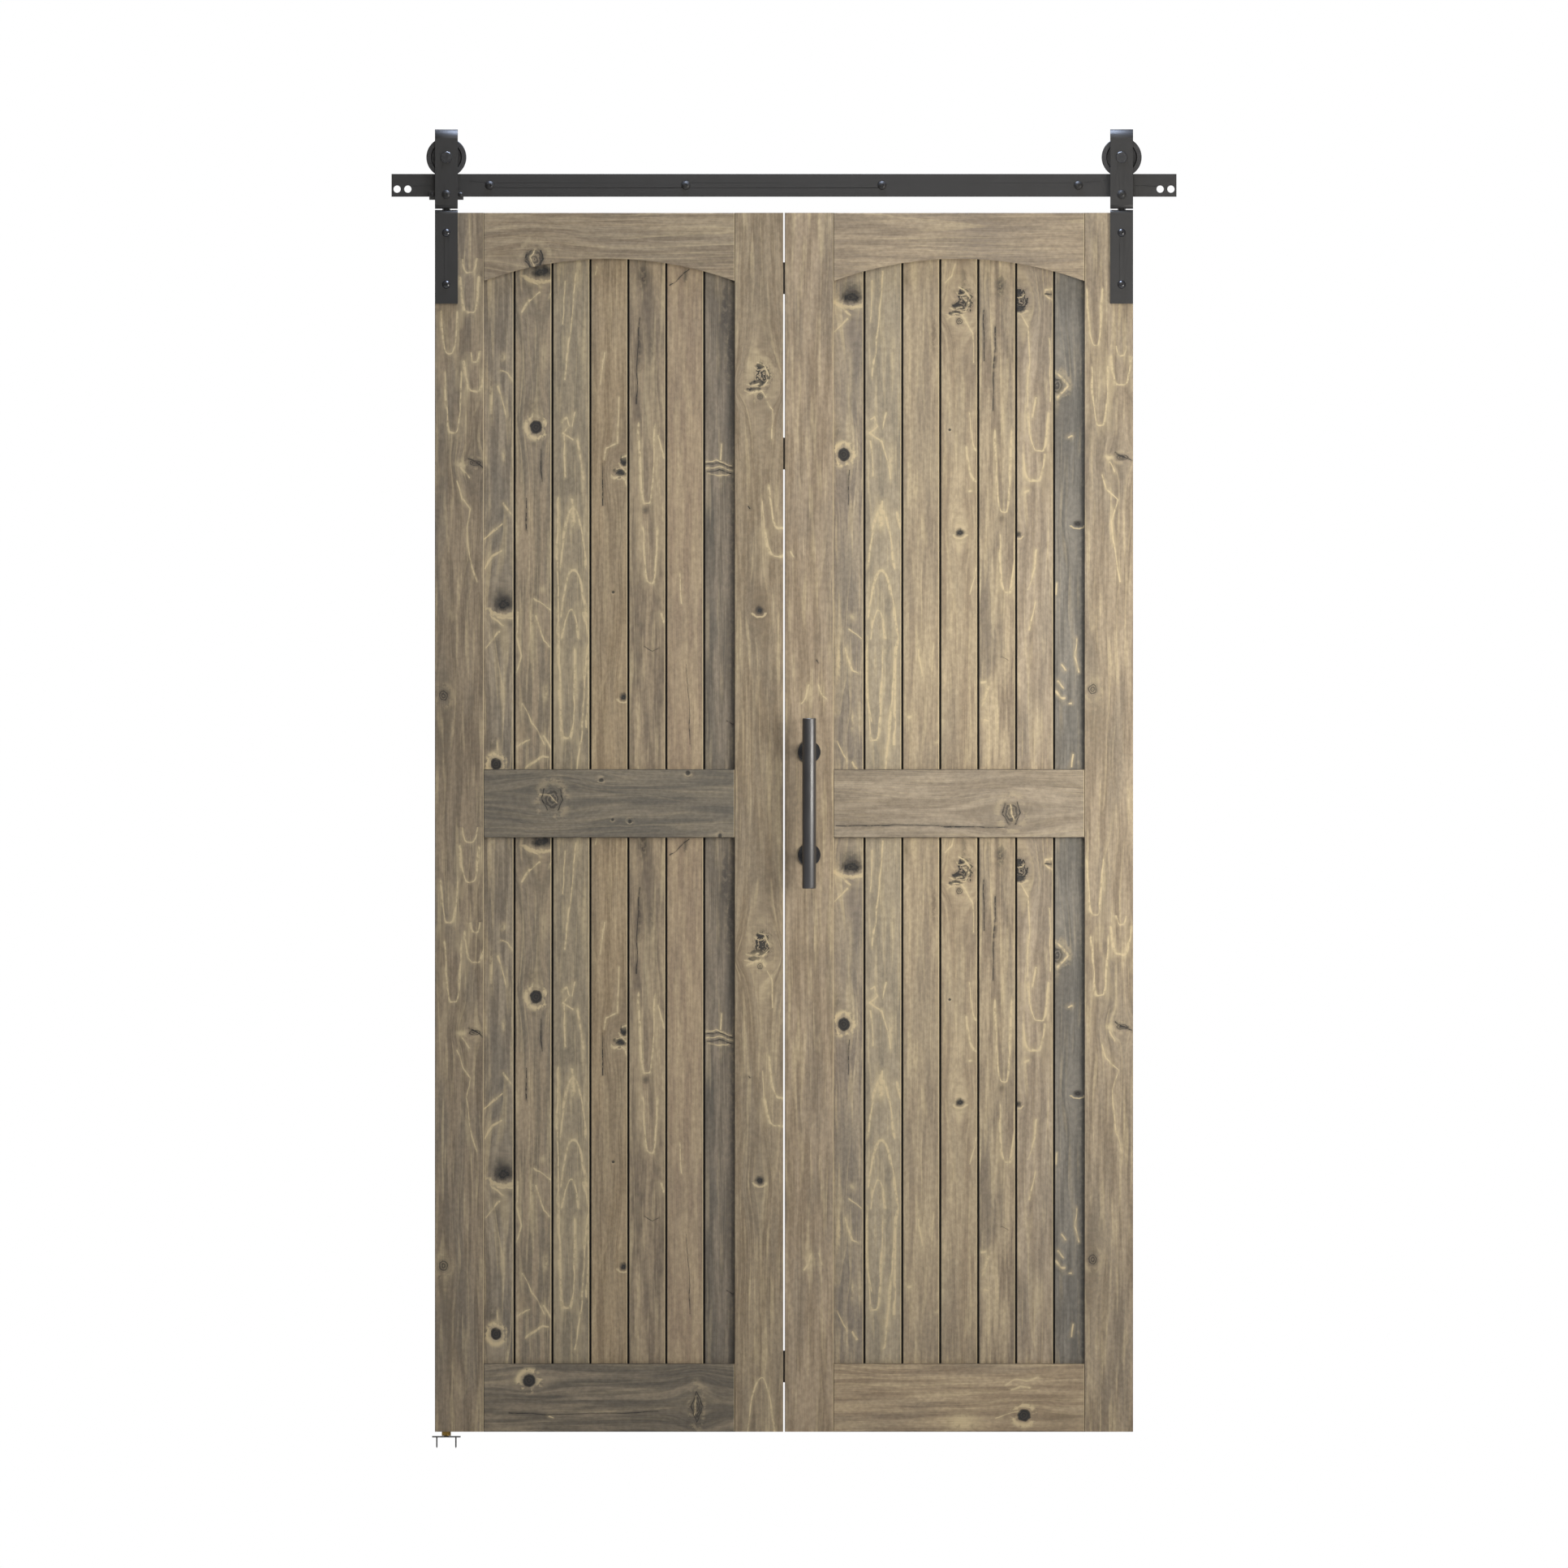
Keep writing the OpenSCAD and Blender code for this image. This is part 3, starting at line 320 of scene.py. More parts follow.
def stainedPine(name, board):
    material, add, links, shader = newMaterial(name)
    flat = board.get("lying", False)
    texture = add("TexCoord").node
    home = (-leafTop / mm, 0, -leafFront / mm) if flat else (0, leafTop / mm, -leafFront / mm)
    place = add("Mapping", None, Vector=texture.outputs["Object"], Location=home, Scale=(1 / mm,) * 3,
                Rotation=lying if flat else upright)
    depth = add("SeparateXYZ", None, place).node.outputs["Z"]
    if board.get("plank"):  # upper and lower boards carry the same figure
        parts = add("SeparateXYZ", None, place).node.outputs
        down = add("Math", "FLOORED_MODULO", add("Math", "SUBTRACT", parts["Y"], panelStart), panelRepeat)
        down = add("Math", "ADD", down, panelStart)
        place = add("CombineXYZ", None, parts["X"], down, parts["Z"])

    def spot(x, down):
        return (-down, x, 0) if flat else (x, down, 0)

    def size(wide, high):  # the depth counts for nothing
        return (high, wide, 1e6) if flat else (wide, high, 1e6)

    seed = (board["seed"],) * 3
    noise = partial(boardNoise, add, place, seed)
    wobble = noise(grain["wobble"], 1.0)
    sway = lineShape["sway"]
    swayed = add("VectorMath", "MULTIPLY_ADD", wobble.node.outputs["Color"], (2 * sway, 2 * sway, 0),
                 (-sway, -sway, 0))
    drawn = add("VectorMath", "MULTIPLY", add("VectorMath", "ADD", place, swayed), (1, 1, 0))
    grit = noise(grain["grit"], 2.0)
    wander = add("MapRange", smooth, noise(grain["wander"], 1.0), 0.0, 1.0, -1.0, 1.0)

    bent = place
    for x, down, wide, high, kind in board.get("knots", []):
        reach = size(wide * 5, high * 2) if flat else size(wide * 2, high * 5)
        bent = add("Group", {"node_tree": grainBend}, bent, spot(x, down), reach)
    colour = add(
        "Group", {"node_tree": pineFigure}, Place=bent, Wander=wander, Seed=seed,
        Pith=board.get("pith", 0.0), Curve=board.get("curve", 9.0), Tilt=board.get("tilt", 14.0),
        Gap=board.get("gap", 6.5), Lines=board.get("lines", 0.5), Weather=board.get("weather", 0.4),
        Light=hexLinear(board["light"]), Dark=hexLinear(board["dark"]),
        Patch=hexLinear(board.get("patch", stain["damp"])), Pale=board.get("pale", 0.1 if flat else 0.4))
    for x, down, wide, high, tone, strength in board.get("blots", []):
        colour = add("Group", {"node_tree": pineBlot}, Colour=colour, Place=drawn, Noise=grit, Centre=spot(x, down),
                     Reach=size(wide, high), Tone=hexLinear(tone), Strength=strength)
    hollow = 0.0
    for x, down, wide, high, kind in board.get("knots", []):
        colour = add("Group", {"node_tree": pineKnot}, Colour=colour, Place=place, Noise=grit, Patches=wobble,
                     Centre=spot(x, down), Radius=size(wide, high), Down=(-1, 0, 0) if flat else (0, 1, 0),
                     **knotKinds[kind])
        near = add("Group", {"node_tree": nearPoint}, place, spot(x, down), size(wide, high))
        hollow = add("Math", "MULTIPLY_ADD", near, knotKinds[kind]["Core"], hollow)
    for tone in ("cream", "soot"):  # lines drawn in one go for each tone and width
        for width in sorted({line[1] for line in board.get("strokes", []) if line[0] == tone}):
            distance = 1e3
            for line in board["strokes"]:
                if line[:2] != (tone, width):
                    continue
                for start, end in zip(line[2:], line[3:]):
                    start, end = spot(*start), spot(*end)
                    along = tuple(b - a for a, b in zip(start, end))
                    distance = add("Group", {"node_tree": nearStroke}, drawn, start, along, distance)
            colour = drawLine(add, colour, distance, width, (grit, wobble), tone)
    for width in sorted({arch[4] for arch in board.get("arches", [])}):
        distance = 1e3
        for x, down, half, length, _ in [arch for arch in board["arches"] if arch[4] == width]:
            near = add("Group", {"node_tree": nearArch}, drawn, spot(x, down), half, length,
                       2.0 if length > 0 else 4.0)
            distance = add("Math", "MINIMUM", near, distance)
        colour = drawLine(add, colour, distance, width, (grit, wobble), "cream")
    straight = add("SeparateXYZ", None, place).node.outputs["Y" if flat else "X"]
    for x, tone in board.get("seams", []):
        offset = add("Math", "ABSOLUTE", add("Math", "SUBTRACT", straight, x))
        share = add("MapRange", smooth, offset, seam["width"], seam["core"])
        share = add("Math", "MULTIPLY", share, seam["strength"])
        colour = add("Mix", blended, share, colour, hexLinear(stain[tone]))
    if board.get("plank"):  # painted highlight on the bevel that faces the light, painted shade in the bottom of the joint
        level = add("Math", "ABSOLUTE", add("Math", "SUBTRACT", depth, joint["leafMiddle"]))
        at = {edge: joint["plankHalf"] - joint[edge] for edge in ("paintedHighlightFrom", "paintedHighlightTo", "paintedShadeFrom", "paintedShadeTo")}
        facing = add("MapRange", smooth, add("SeparateXYZ", None, texture.outputs["Normal"]), 0.3, 0.5)
        paintedHighlight = add("MapRange", smooth, level, at["paintedHighlightFrom"], at["paintedHighlightTo"])
        paintedHighlight = add("Math", "MULTIPLY", facing, paintedHighlight)
        shade = add("MapRange", smooth, level, at["paintedShadeFrom"], at["paintedShadeTo"])
        shade = add("Math", "MULTIPLY", shade, add("Math", "SUBTRACT", 1.0, paintedHighlight))
        paintedHighlight = add("Math", "MULTIPLY", paintedHighlight, joint["paintedHighlight"])
        colour = add("Mix", blended, paintedHighlight, colour, hexLinear(stain["cream"]))
        colour = add("Mix", blended, shade, colour, hexLinear(stain["pooled"]))
    height = add("Math", "MULTIPLY_ADD", hollow, -stain["hollow"], noise(grain["fibre"], 1.0))
    relief = add("Bump", None, Height=height, Distance=stain["relief"] * mm)
    sheen = add("MapRange", None, grit, 0.3, 0.7, stain["sheenHigh"], stain["sheenLow"])
    links.new(colour, shader["Base Color"])
    links.new(sheen, shader["Roughness"])
    links.new(relief, shader["Normal"])
    shader["IOR"].default_value = stain["ior"]
    return material


stileRepeat = 997  # a stile's figure starts again this far down, mm


def repeated(marks):  # the marks, and the same ones again further down the stile
    again = []
    for mark in marks:
        if isinstance(mark[0], str):
            again.append(mark[:2] + tuple((x, down + stileRepeat) for x, down in mark[2:]))
        else:
            again.append((mark[0], mark[1] + stileRepeat) + mark[2:])
    return marks + again


# What each board shows, as x and the distance down from the leaf's top in mm:
# knots (x, down, half width, half height, kind), blots (x, down, half width, half height, tone, strength),
# arches (x, down, half width, length, line) and strokes (tone, line, points).
boards = {
    # left leaf, from the outer stile inwards
    "leftBoard1": dict(
        seed=3.1, light="#9a8d78", dark="#7b7060", lines=0.5, pith=-520, curve=5, weather=0.5,
        knots=[(-491, 686, 22, 20, "smudge"), (-504, 965, 10, 11, "round")],
        blots=[(-490, 672, 22, 12, "#3b3833", 0.8), (-508, 930, 14, 16, "#5a5144", 0.7),
               (-491, 253, 7, 9, stain["cream"], 0.7), (-492, 835, 5, 26, stain["cream"], 0.5),
               (-512, 330, 4, 32, stain["cream"], 0.9), (-490, 426, 3, 9, stain["cream"], 0.9)],
        strokes=[("cream", 2.6, (-496, 276), (-484, 280), (-474, 294)), ("cream", 2.6, (-500, 304), (-487, 352)),
                 ("cream", 2.6, (-490, 509), (-472, 536)), ("cream", 3.2, (-524, 570), (-508, 556), (-494, 545)),
                 ("cream", 3.2, (-524, 622), (-510, 602), (-495, 592)), ("cream", 2.6, (-516, 704), (-492, 722)),
                 ("cream", 3.2, (-500, 709), (-474, 710)), ("cream", 2.6, (-522, 760), (-498, 732)),
                 ("cream", 2.6, (-502, 925), (-500, 950))]),
    "leftBoard2": dict(
        seed=7.4, light="#a08f76", dark="#807461", lines=0.35, pith=-470, curve=12, weather=0.35,
        knots=[(-424, 104, 26, 18, "smudge"), (-434, 375, 11, 12, "round")],
        blots=[(-446, 340, 12, 16, "#63594b", 0.7), (-420, 255, 6, 28, stain["cream"], 0.45),
               (-442, 725, 4, 40, stain["cream"], 0.8), (-422, 660, 6, 8, stain["cream"], 0.6),
               (-418, 840, 4, 14, stain["cream"], 0.8), (-458, 910, 10, 14, "#9c8b70", 0.8)],
        strokes=[("cream", 3.2, (-458, 172), (-445, 152), (-428, 140)), ("cream", 3.2, (-446, 116), (-426, 131)),
                 ("cream", 3.2, (-424, 118), (-407, 119)), ("cream", 2.4, (-412, 150), (-404, 130)),
                 ("soot", 1.8, (-426, 414), (-424, 470)), ("soot", 1.8, (-452, 500), (-450, 556)),
                 ("cream", 3.2, (-466, 700), (-468, 740), (-460, 775), (-468, 803)),
                 ("cream", 2.4, (-438, 676), (-407, 695)), ("cream", 2.4, (-434, 706), (-420, 750), (-410, 760)),
                 ("cream", 2.4, (-458, 860), (-436, 900), (-420, 930)), ("cream", 2.4, (-468, 934), (-446, 922)),
                 ("cream", 3.2, (-420, 916), (-407, 937)), ("cream", 3.2, (-452, 972), (-422, 952), (-413, 953))]),
    "leftBoard3": dict(
        seed=12.9, light="#968972", dark="#857a66", lines=0.25, pith=-372, curve=6, tilt=11, gap=8, weather=0.15,
        blots=[(-382, 378, 8, 12, stain["cream"], 0.4), (-369, 530, 5, 22, stain["cream"], 1.0),
               (-350, 235, 5, 50, stain["cream"], 0.6), (-352, 480, 4, 30, stain["cream"], 0.6)],
        arches=[(-369, 516, 25, 125, 3.6), (-368, 625, 26, 100, 3.6), (-374, 694, 16, 62, 3.6),
                (-379, 920, 15, -190, 3.2)],
        strokes=[("cream", 6.0, (-371, 502), (-368, 541)), ("cream", 2.6, (-365, 105), (-372, 190), (-384, 290)),
                 ("cream", 2.6, (-384, 120), (-388, 195)),
                 ("cream", 3.4, (-396, 498), (-397, 620), (-394, 780), (-392, 850)),
                 ("cream", 3.4, (-350, 700), (-341, 745), (-350, 820), (-354, 910), (-366, 990)),
                 ("cream", 3.4, (-342, 780), (-346, 900)), ("cream", 2.6, (-361, 396), (-350, 466)),
                 ("cream", 2.6, (-385, 390), (-383, 462)), ("cream", 2.6, (-366, 350), (-372, 374)),
                 ("cream", 3.4, (-388, 366), (-380, 360), (-377, 374), (-387, 386), (-377, 393), (-370, 397))]),
    "leftBoard4": dict(
        pale=0.2, seed=18.2, light="#a28f72", dark="#8b795f", lines=0.2, pith=-330, curve=14, weather=0.2,
        knots=[(-281, 434, 7, 11, "dark"), (-287, 455, 13, 10, "dark"), (-281, 848, 9, 10, "smudge"),
               (-299, 664, 3, 3, "pin")],
        strokes=[("cream", 2.6, (-276, 424), (-284, 428)), ("cream", 2.6, (-292, 448), (-284, 446), (-276, 452)),
                 ("cream", 3.2, (-297, 464), (-287, 461), (-277, 468), (-275, 478)),
                 ("soot", 1.6, (-318, 440), (-317, 512)), ("cream", 2.6, (-327, 96), (-331, 108)),
                 ("cream", 2.0, (-289, 324), (-291, 402), (-310, 411), (-315, 432)),
                 ("cream", 2.0, (-314, 245), (-322, 300))]),
    "leftBoard5": dict(
        seed=23.5, light="#9f8e74", dark="#7a6c5a", lines=0.3, pith=-228, curve=7, weather=0.5, patch="#6c6153",
        blots=[(-246, 112, 9, 22, "#443d34", 1.0), (-254, 235, 4, 42, "#4a4137", 0.9),
               (-232, 235, 4, 26, "#5f5548", 0.8), (-242, 350, 5, 60, "#a89a7d", 0.6),
               (-243, 520, 8, 9, "#5d5345", 0.9)],
        arches=[(-240, 509, 14, -170, 2.8), (-234, 649, 13, -120, 2.8)],
        strokes=[("soot", 1.6, (-253, 185), (-258, 260), (-258, 334)), ("cream", 2.6, (-221, 390), (-209, 430)),
                 ("cream", 3.4, (-214, 702), (-210, 716)), ("soot", 1.0, (-244, 760), (-232, 768), (-218, 762))]),
    "leftBoard6": dict(
        pale=0.2, seed=29.8, light="#a79478", dark="#94816a", lines=0.12, pith=-140, curve=16, weather=0.15,
        blots=[(-172, 112, 5, 16, "#5c5244", 0.9)],
        strokes=[("soot", 1.2, (-200, 128), (-180, 112), (-166, 100)),
                 ("soot", 1.0, (-172, 790), (-168, 840), (-164, 930)), ("cream", 1.6, (-182, 631), (-179, 683))]),
    "leftBoard7": dict(
        pale=0.2, seed=34.6, light="#8b7f6e", dark="#6c6356", lines=0.15, pith=-60, curve=12, weather=0.6,
        patch="#58544c",
        blots=[(-104, 170, 7, 60, "#45403a", 0.9), (-94, 240, 8, 70, "#45403a", 0.8),
               # painted shadow cast by the inner stile along the board's right edge
               (-84, 560, 16, 5000, "#4a453e", 0.6)],
        strokes=[("cream", 1.6, (-136, 436), (-118, 432), (-92, 443)),
                 ("cream", 1.6, (-136, 447), (-112, 444), (-90, 452)),
                 ("soot", 1.2, (-136, 440), (-114, 437), (-90, 447)),
                 ("soot", 1.2, (-134, 453), (-112, 450), (-92, 457)),
                 ("cream", 1.6, (-132, 456), (-110, 460), (-96, 458)), ("cream", 1.6, (-109, 405), (-110, 431)),
                 ("soot", 1.8, (-101, 889), (-88, 895))]),
    # right leaf, from the fold outwards
    "rightBoard1": dict(
        seed=41.3, light="#9f917b", dark="#85796a", lines=0.4, pith=92, curve=8, weather=0.4,
        knots=[(118, 148, 26, 18, "smudge"), (105, 423, 11, 12, "round")],
        blots=[(118, 132, 20, 12, "#3b3833", 0.7), (92, 385, 8, 18, "#6a6051", 0.6),
               (119, 708, 7, 8, stain["cream"], 0.7), (95, 785, 4, 34, stain["cream"], 0.9),
               (117, 280, 5, 40, stain["cream"], 0.35), (119, 890, 3, 18, stain["cream"], 0.9)],
        strokes=[("cream", 3.2, (92, 160), (116, 179)), ("cream", 3.2, (116, 165), (138, 164)),
                 ("cream", 2.6, (88, 208), (112, 186)), ("soot", 1.6, (113, 450), (112, 510)),
                 ("cream", 2.6, (114, 728), (134, 745)), ("cream", 2.6, (108, 762), (120, 800), (130, 806)),
                 ("cream", 2.0, (92, 925), (110, 960)), ("cream", 2.6, (120, 962), (128, 975))]),
    "rightBoard2": dict(
        seed=47.7, light="#a0937c", dark="#8e836f", lines=0.25, pith=172, curve=6, tilt=11, gap=8, weather=0.12,
        blots=[(157, 380, 9, 14, stain["cream"], 0.4), (170, 535, 5, 20, stain["cream"], 1.0),
               (190, 255, 5, 50, stain["cream"], 0.6), (188, 430, 5, 34, stain["cream"], 0.6)],
        arches=[(170, 520, 26, 125, 3.6), (171, 625, 26, 100, 3.6), (164, 695, 15, 62, 3.6),
                (158, 923, 15, -190, 3.2)],
        strokes=[("cream", 6.0, (171, 506), (170, 546)), ("cream", 2.6, (173, 105), (166, 190), (154, 290)),
                 ("cream", 2.6, (154, 120), (151, 190)),
                 ("cream", 3.4, (192, 690), (200, 745), (190, 830), (184, 920), (175, 990)),
                 ("cream", 3.4, (196, 760), (193, 930)), ("cream", 3.4, (145, 740), (146, 850), (152, 890)),
                 ("cream", 2.6, (179, 350), (172, 378)),
                 ("cream", 3.4, (151, 362), (158, 358), (162, 374), (151, 386), (160, 394), (169, 400)),
                 ("cream", 2.6, (152, 400), (156, 460)), ("cream", 2.6, (172, 400), (188, 465)),
                 ("cream", 3.4, (198, 525), (205, 552))]),
    "rightBoard3": dict(
        seed=52.1, light="#ab9a7e", dark="#94846d", lines=0.3, pith=300, curve=15, weather=0.2,
        blots=[(262, 215, 5, 38, "#6b5c4b", 0.8), (229, 105, 4, 30, stain["cream"], 0.5),
               (214, 118, 5, 12, "#75684f", 0.7), (244, 790, 6, 70, stain["cream"], 0.3)],
        strokes=[("cream", 3.4, (218, 883), (224, 883)), ("cream", 3.4, (264, 927), (270, 925)),
                 ("cream", 2.0, (236, 765), (242, 810)), ("cream", 2.0, (262, 752), (258, 800))]),
    "rightBoard4": dict(
        seed=58.8, light="#aa997d", dark="#93826a", lines=0.2, pith=360, curve=14, weather=0.25,
        knots=[(316, 153, 16, 25, "whorl"), (311, 137, 7, 7, "dark"), (306, 164, 13, 6, "dark"),
               (300, 176, 14, 5, "dark"), (307, 190, 7, 7, "ringed"), (308, 560, 10, 10, "smudge"),
               (290, 380, 3, 3, "pin")],
        arches=[(344, 470, 26, -75, 3.4), (346, 418, 24, -85, 2.6)],
        blots=[(314, 112, 5, 20, "#6b5f4e", 0.8)],
        strokes=[("cream", 3.2, (287, 185), (298, 178), (310, 179), (318, 188)),
                 ("cream", 2.6, (300, 168), (310, 166)), ("cream", 2.0, (306, 130), (318, 136), (326, 150)),
                 ("cream", 2.0, (324, 158), (318, 172), (308, 174)), ("cream", 2.0, (312, 148), (320, 154)),
                 ("soot", 2.0, (296, 162), (304, 156), (314, 160)),
                 ("cream", 2.0, (299, 90), (294, 112), (282, 122)),
                 ("cream", 2.0, (316, 186), (330, 210), (332, 262)), ("cream", 3.4, (324, 489), (329, 486)),
                 ("cream", 2.0, (337, 622), (325, 668))]),
    "rightBoard5": dict(
        seed=63.2, light="#ad9c80", dark="#857662", lines=0.3, pith=384, curve=7, weather=0.3,
        blots=[(378, 128, 9, 22, "#4c453b", 1.0), (369, 250, 4, 44, "#574c40", 0.9),
               (391, 240, 3, 24, "#6b5f51", 0.8), (385, 365, 5, 55, stain["cream"], 0.4),
               (380, 536, 8, 9, "#6d604e", 0.8)],
        arches=[(384, 525, 15, -175, 2.8), (391, 665, 14, -125, 2.8)],
        strokes=[("soot", 1.6, (371, 200), (367, 270), (366, 345)), ("soot", 1.2, (350, 170), (351, 260)),
                 ("cream", 3.4, (347, 822), (353, 820)), ("cream", 3.0, (358, 830), (348, 860)),
                 ("cream", 3.4, (352, 887), (357, 888)), ("soot", 1.0, (380, 778), (392, 784))]),
    "rightBoard6": dict(
        seed=69.9, light="#a89881", dark="#8d7e6a", lines=0.3, pith=440, curve=8, weather=0.3,
        knots=[(414, 153, 15, 23, "whorl"), (411, 140, 8, 7, "dark"), (412, 168, 13, 8, "dark"),
               (410, 563, 7, 8, "smudge")],
        arches=[(446, 417, 19, -80, 3.2), (437, 468, 20, -55, 3.6)],
        blots=[(443, 905, 10, 38, stain["cream"], 0.45), (464, 905, 5, 50, "#7d6e5b", 0.6)],
        strokes=[("cream", 2.6, (470, 132), (458, 136), (455, 143), (470, 151)),
                 ("soot", 1.6, (456, 143), (470, 141)),
                 ("cream", 2.0, (414, 178), (428, 200), (430, 262), (425, 340)),
                 ("cream", 2.6, (442, 325), (435, 357)), ("cream", 3.2, (423, 489), (428, 486)),
                 ("cream", 2.0, (442, 590), (440, 622), (426, 660)), ("cream", 2.0, (440, 682), (430, 730)),
                 ("cream", 1.6, (465, 220), (466, 330))]),
    "rightBoard7": dict(
        pale=0.2, seed=75.4, light="#827c71", dark="#6b665d", lines=0.15, pith=520, curve=10, weather=0.4,
        patch="#64625c",
        knots=[(478, 302, 13, 17, "ringed"), (514, 545, 10, 8, "smudge")],
        # painted shadow cast by the outer stile along the board's right edge
        blots=[(528, 560, 16, 5000, "#4c4a44", 0.7)],
        strokes=[("cream", 3.0, (476, 282), (488, 288), (498, 302), (480, 322)),
                 ("cream", 3.4, (498, 393), (504, 391)), ("cream", 2.4, (512, 745), (509, 775), (516, 805)),
                 ("cream", 2.4, (486, 790), (493, 800)), ("cream", 3.4, (477, 838), (484, 848), (491, 850)),
                 ("cream", 2.4, (481, 820), (489, 832)), ("cream", 3.4, (498, 860), (502, 860)),
                 ("cream", 2.4, (506, 950), (503, 970)), ("cream", 2.4, (477, 648), (476, 668))]),
    # stiles
    "leftOuterStile": dict(
        seed=81.0, light="#96866f", dark="#7b6d5a", lines=0.3, pith=-580, curve=7, weather=0.4,
        knots=[(-541, 438, 14, 6, "ringed"), (-596, 845, 10, 12, "ringed"), (-541, 1435, 14, 6, "ringed"),
               (-596, 1843, 10, 12, "ringed")],
        arches=repeated([
            (-550, 174, 17, -75, 3.4), (-550, 104, 14, -30, 2.4), (-586, 246, 15, -90, 2.8),
            (-541, 314, 19, -65, 3.4), (-540, 262, 8, -22, 2.0), (-579, 385, 15, -130, 2.8)]),
        blots=[(-565, 440, 9, 5, stain["cream"], 0.9), (-565, 1437, 9, 5, stain["cream"], 0.9),
               (-590, 900, 18, 110, "#6a604f", 0.5), (-590, 1897, 18, 110, "#6a604f", 0.5)],
        strokes=repeated([
            ("soot", 2.4, (-553, 430), (-538, 436), (-527, 446)), ("cream", 2.4, (-564, 446), (-551, 464)),
            ("cream", 2.0, (-572, 470), (-562, 500), (-549, 518), (-556, 552), (-550, 605), (-538, 645))])),
    "leftInnerStile": dict(
        seed=86.6, light="#998970", dark="#84745d", lines=0.25, pith=-20, curve=9, weather=0.25,
        knots=repeated([
            (-37, 284, 17, 25, "whorl"), (-42, 268, 8, 7, "dark"), (-47, 298, 14, 6, "dark"),
            (-52, 309, 13, 5, "dark"), (-42, 322, 7, 7, "ringed"), (-43, 697, 10, 11, "smudge")]),
        arches=repeated([
            (-2, 552, 25, -90, 3.2), (-9, 602, 25, -58, 3.6)]) + [(-40, 2040, 30, 140, 2.4)],
        strokes=repeated([
            ("cream", 3.2, (-63, 319), (-52, 313), (-40, 312), (-33, 322)),
            ("cream", 2.0, (-46, 262), (-34, 268), (-26, 284)), ("cream", 2.0, (-28, 292), (-36, 305)),
            ("cream", 2.6, (-54, 302), (-44, 300)), ("cream", 2.0, (-30, 330), (-21, 345), (-20, 395)),
            ("cream", 1.6, (-38, 505), (-34, 560)), ("soot", 2.0, (-62, 514), (-60, 517))])),
    "rightInnerStile": dict(
        seed=92.3, light="#a5937a", dark="#8d7c65", lines=0.25, pith=60, curve=13, weather=0.3,
        blots=[(46, 840, 10, 14, stain["cream"], 0.4), (50, 1834, 10, 14, stain["cream"], 0.4),
               (20, 1030, 14, 60, "#6d614f", 0.5), (40, 1300, 30, 12, "#7a6c57", 0.5)],
        strokes=[("cream", 2.4, (30, 860), (38, 848), (44, 826)), ("cream", 2.4, (60, 826), (68, 846), (74, 850)),
                 ("cream", 2.4, (12, 594), (16, 602)), ("soot", 1.6, (57, 783), (60, 788)),
                 ("cream", 2.4, (36, 1850), (44, 1840), (48, 1822)), ("cream", 2.4, (60, 1822), (66, 1842))]),
    "rightOuterStile": dict(
        seed=97.9, light="#a19179", dark="#877863", lines=0.3, pith=550, curve=7, weather=0.3,
        knots=[(592, 428, 14, 6, "ringed"), (540, 834, 10, 12, "ringed"), (592, 1425, 14, 6, "ringed"),
               (540, 1832, 10, 12, "ringed")],
        arches=repeated([
            (544, 232, 14, -120, 2.8), (590, 250, 9, -20, 2.0), (590, 301, 18, -60, 3.4),
            (553, 373, 15, -125, 2.8)]),
        blots=[(569, 428, 9, 5, stain["cream"], 0.9), (569, 1425, 9, 5, stain["cream"], 0.9),
               (545, 850, 16, 90, "#6f6553", 0.5), (545, 1847, 16, 90, "#6f6553", 0.5)],
        strokes=repeated([
            ("soot", 2.4, (580, 420), (594, 428), (608, 434)), ("cream", 2.4, (570, 436), (579, 452)),
            ("cream", 2.0, (557, 460), (564, 482), (584, 503), (574, 538), (580, 600), (590, 645))])),
    # rails, grain across the leaf
    "leftTopRail": dict(
        lying=True, seed=103.3, light="#9b8b72", dark="#84745e", lines=0.3, pith=-30, curve=9, weather=0.2,
        knots=[(-437, 82, 18, 21, "ringed")],
        strokes=[("soot", 2.4, (-449, 70), (-452, 84), (-444, 96)),
                 ("soot", 2.4, (-425, 66), (-421, 80), (-427, 92)),
                 ("cream", 1.6, (-436, 64), (-443, 78), (-437, 94))]),
    "leftMiddleRail": dict(
        lying=True, seed=108.1, light="#7d7464", dark="#666055", lines=0.15, pith=-1040, curve=8, weather=0.4,
        patch="#5c5850",
        knots=[(-406, 1027, 16, 20, "ringed"), (-320, 993, 5, 4, "pin"), (-168, 980, 5, 5, "pin"),
               (-300, 1062, 3, 3, "pin"), (-270, 1065, 4, 4, "pin"), (-112, 1090, 4, 5, "pin")],
        strokes=[("soot", 1.8, (-420, 1008), (-425, 1026), (-416, 1046)),
                 ("soot", 1.8, (-392, 1010), (-388, 1028), (-396, 1046)),
                 ("cream", 1.6, (-428, 1018), (-410, 1020), (-398, 1034))]),
    "leftBottomRail": dict(
        lying=True, seed=113.7, light="#897d6a", dark="#6a6255", lines=0.15, pith=-2080, curve=8, weather=0.5,
        patch="#544f47",
        knots=[(-446, 2044, 12, 11, "round"), (-153, 2090, 8, 24, "ringed")],
        strokes=[("soot", 1.6, (-153, 2064), (-163, 2090), (-153, 2118)),
                 ("soot", 1.6, (-153, 2064), (-143, 2088), (-153, 2118)),
                 ("cream", 1.6, (-155, 2072), (-157, 2106)), ("cream", 2.4, (-410, 2106), (-404, 2110)),
                 ("soot", 1.0, (-480, 2100), (-380, 2104), (-220, 2098))]),
    "rightTopRail": dict(
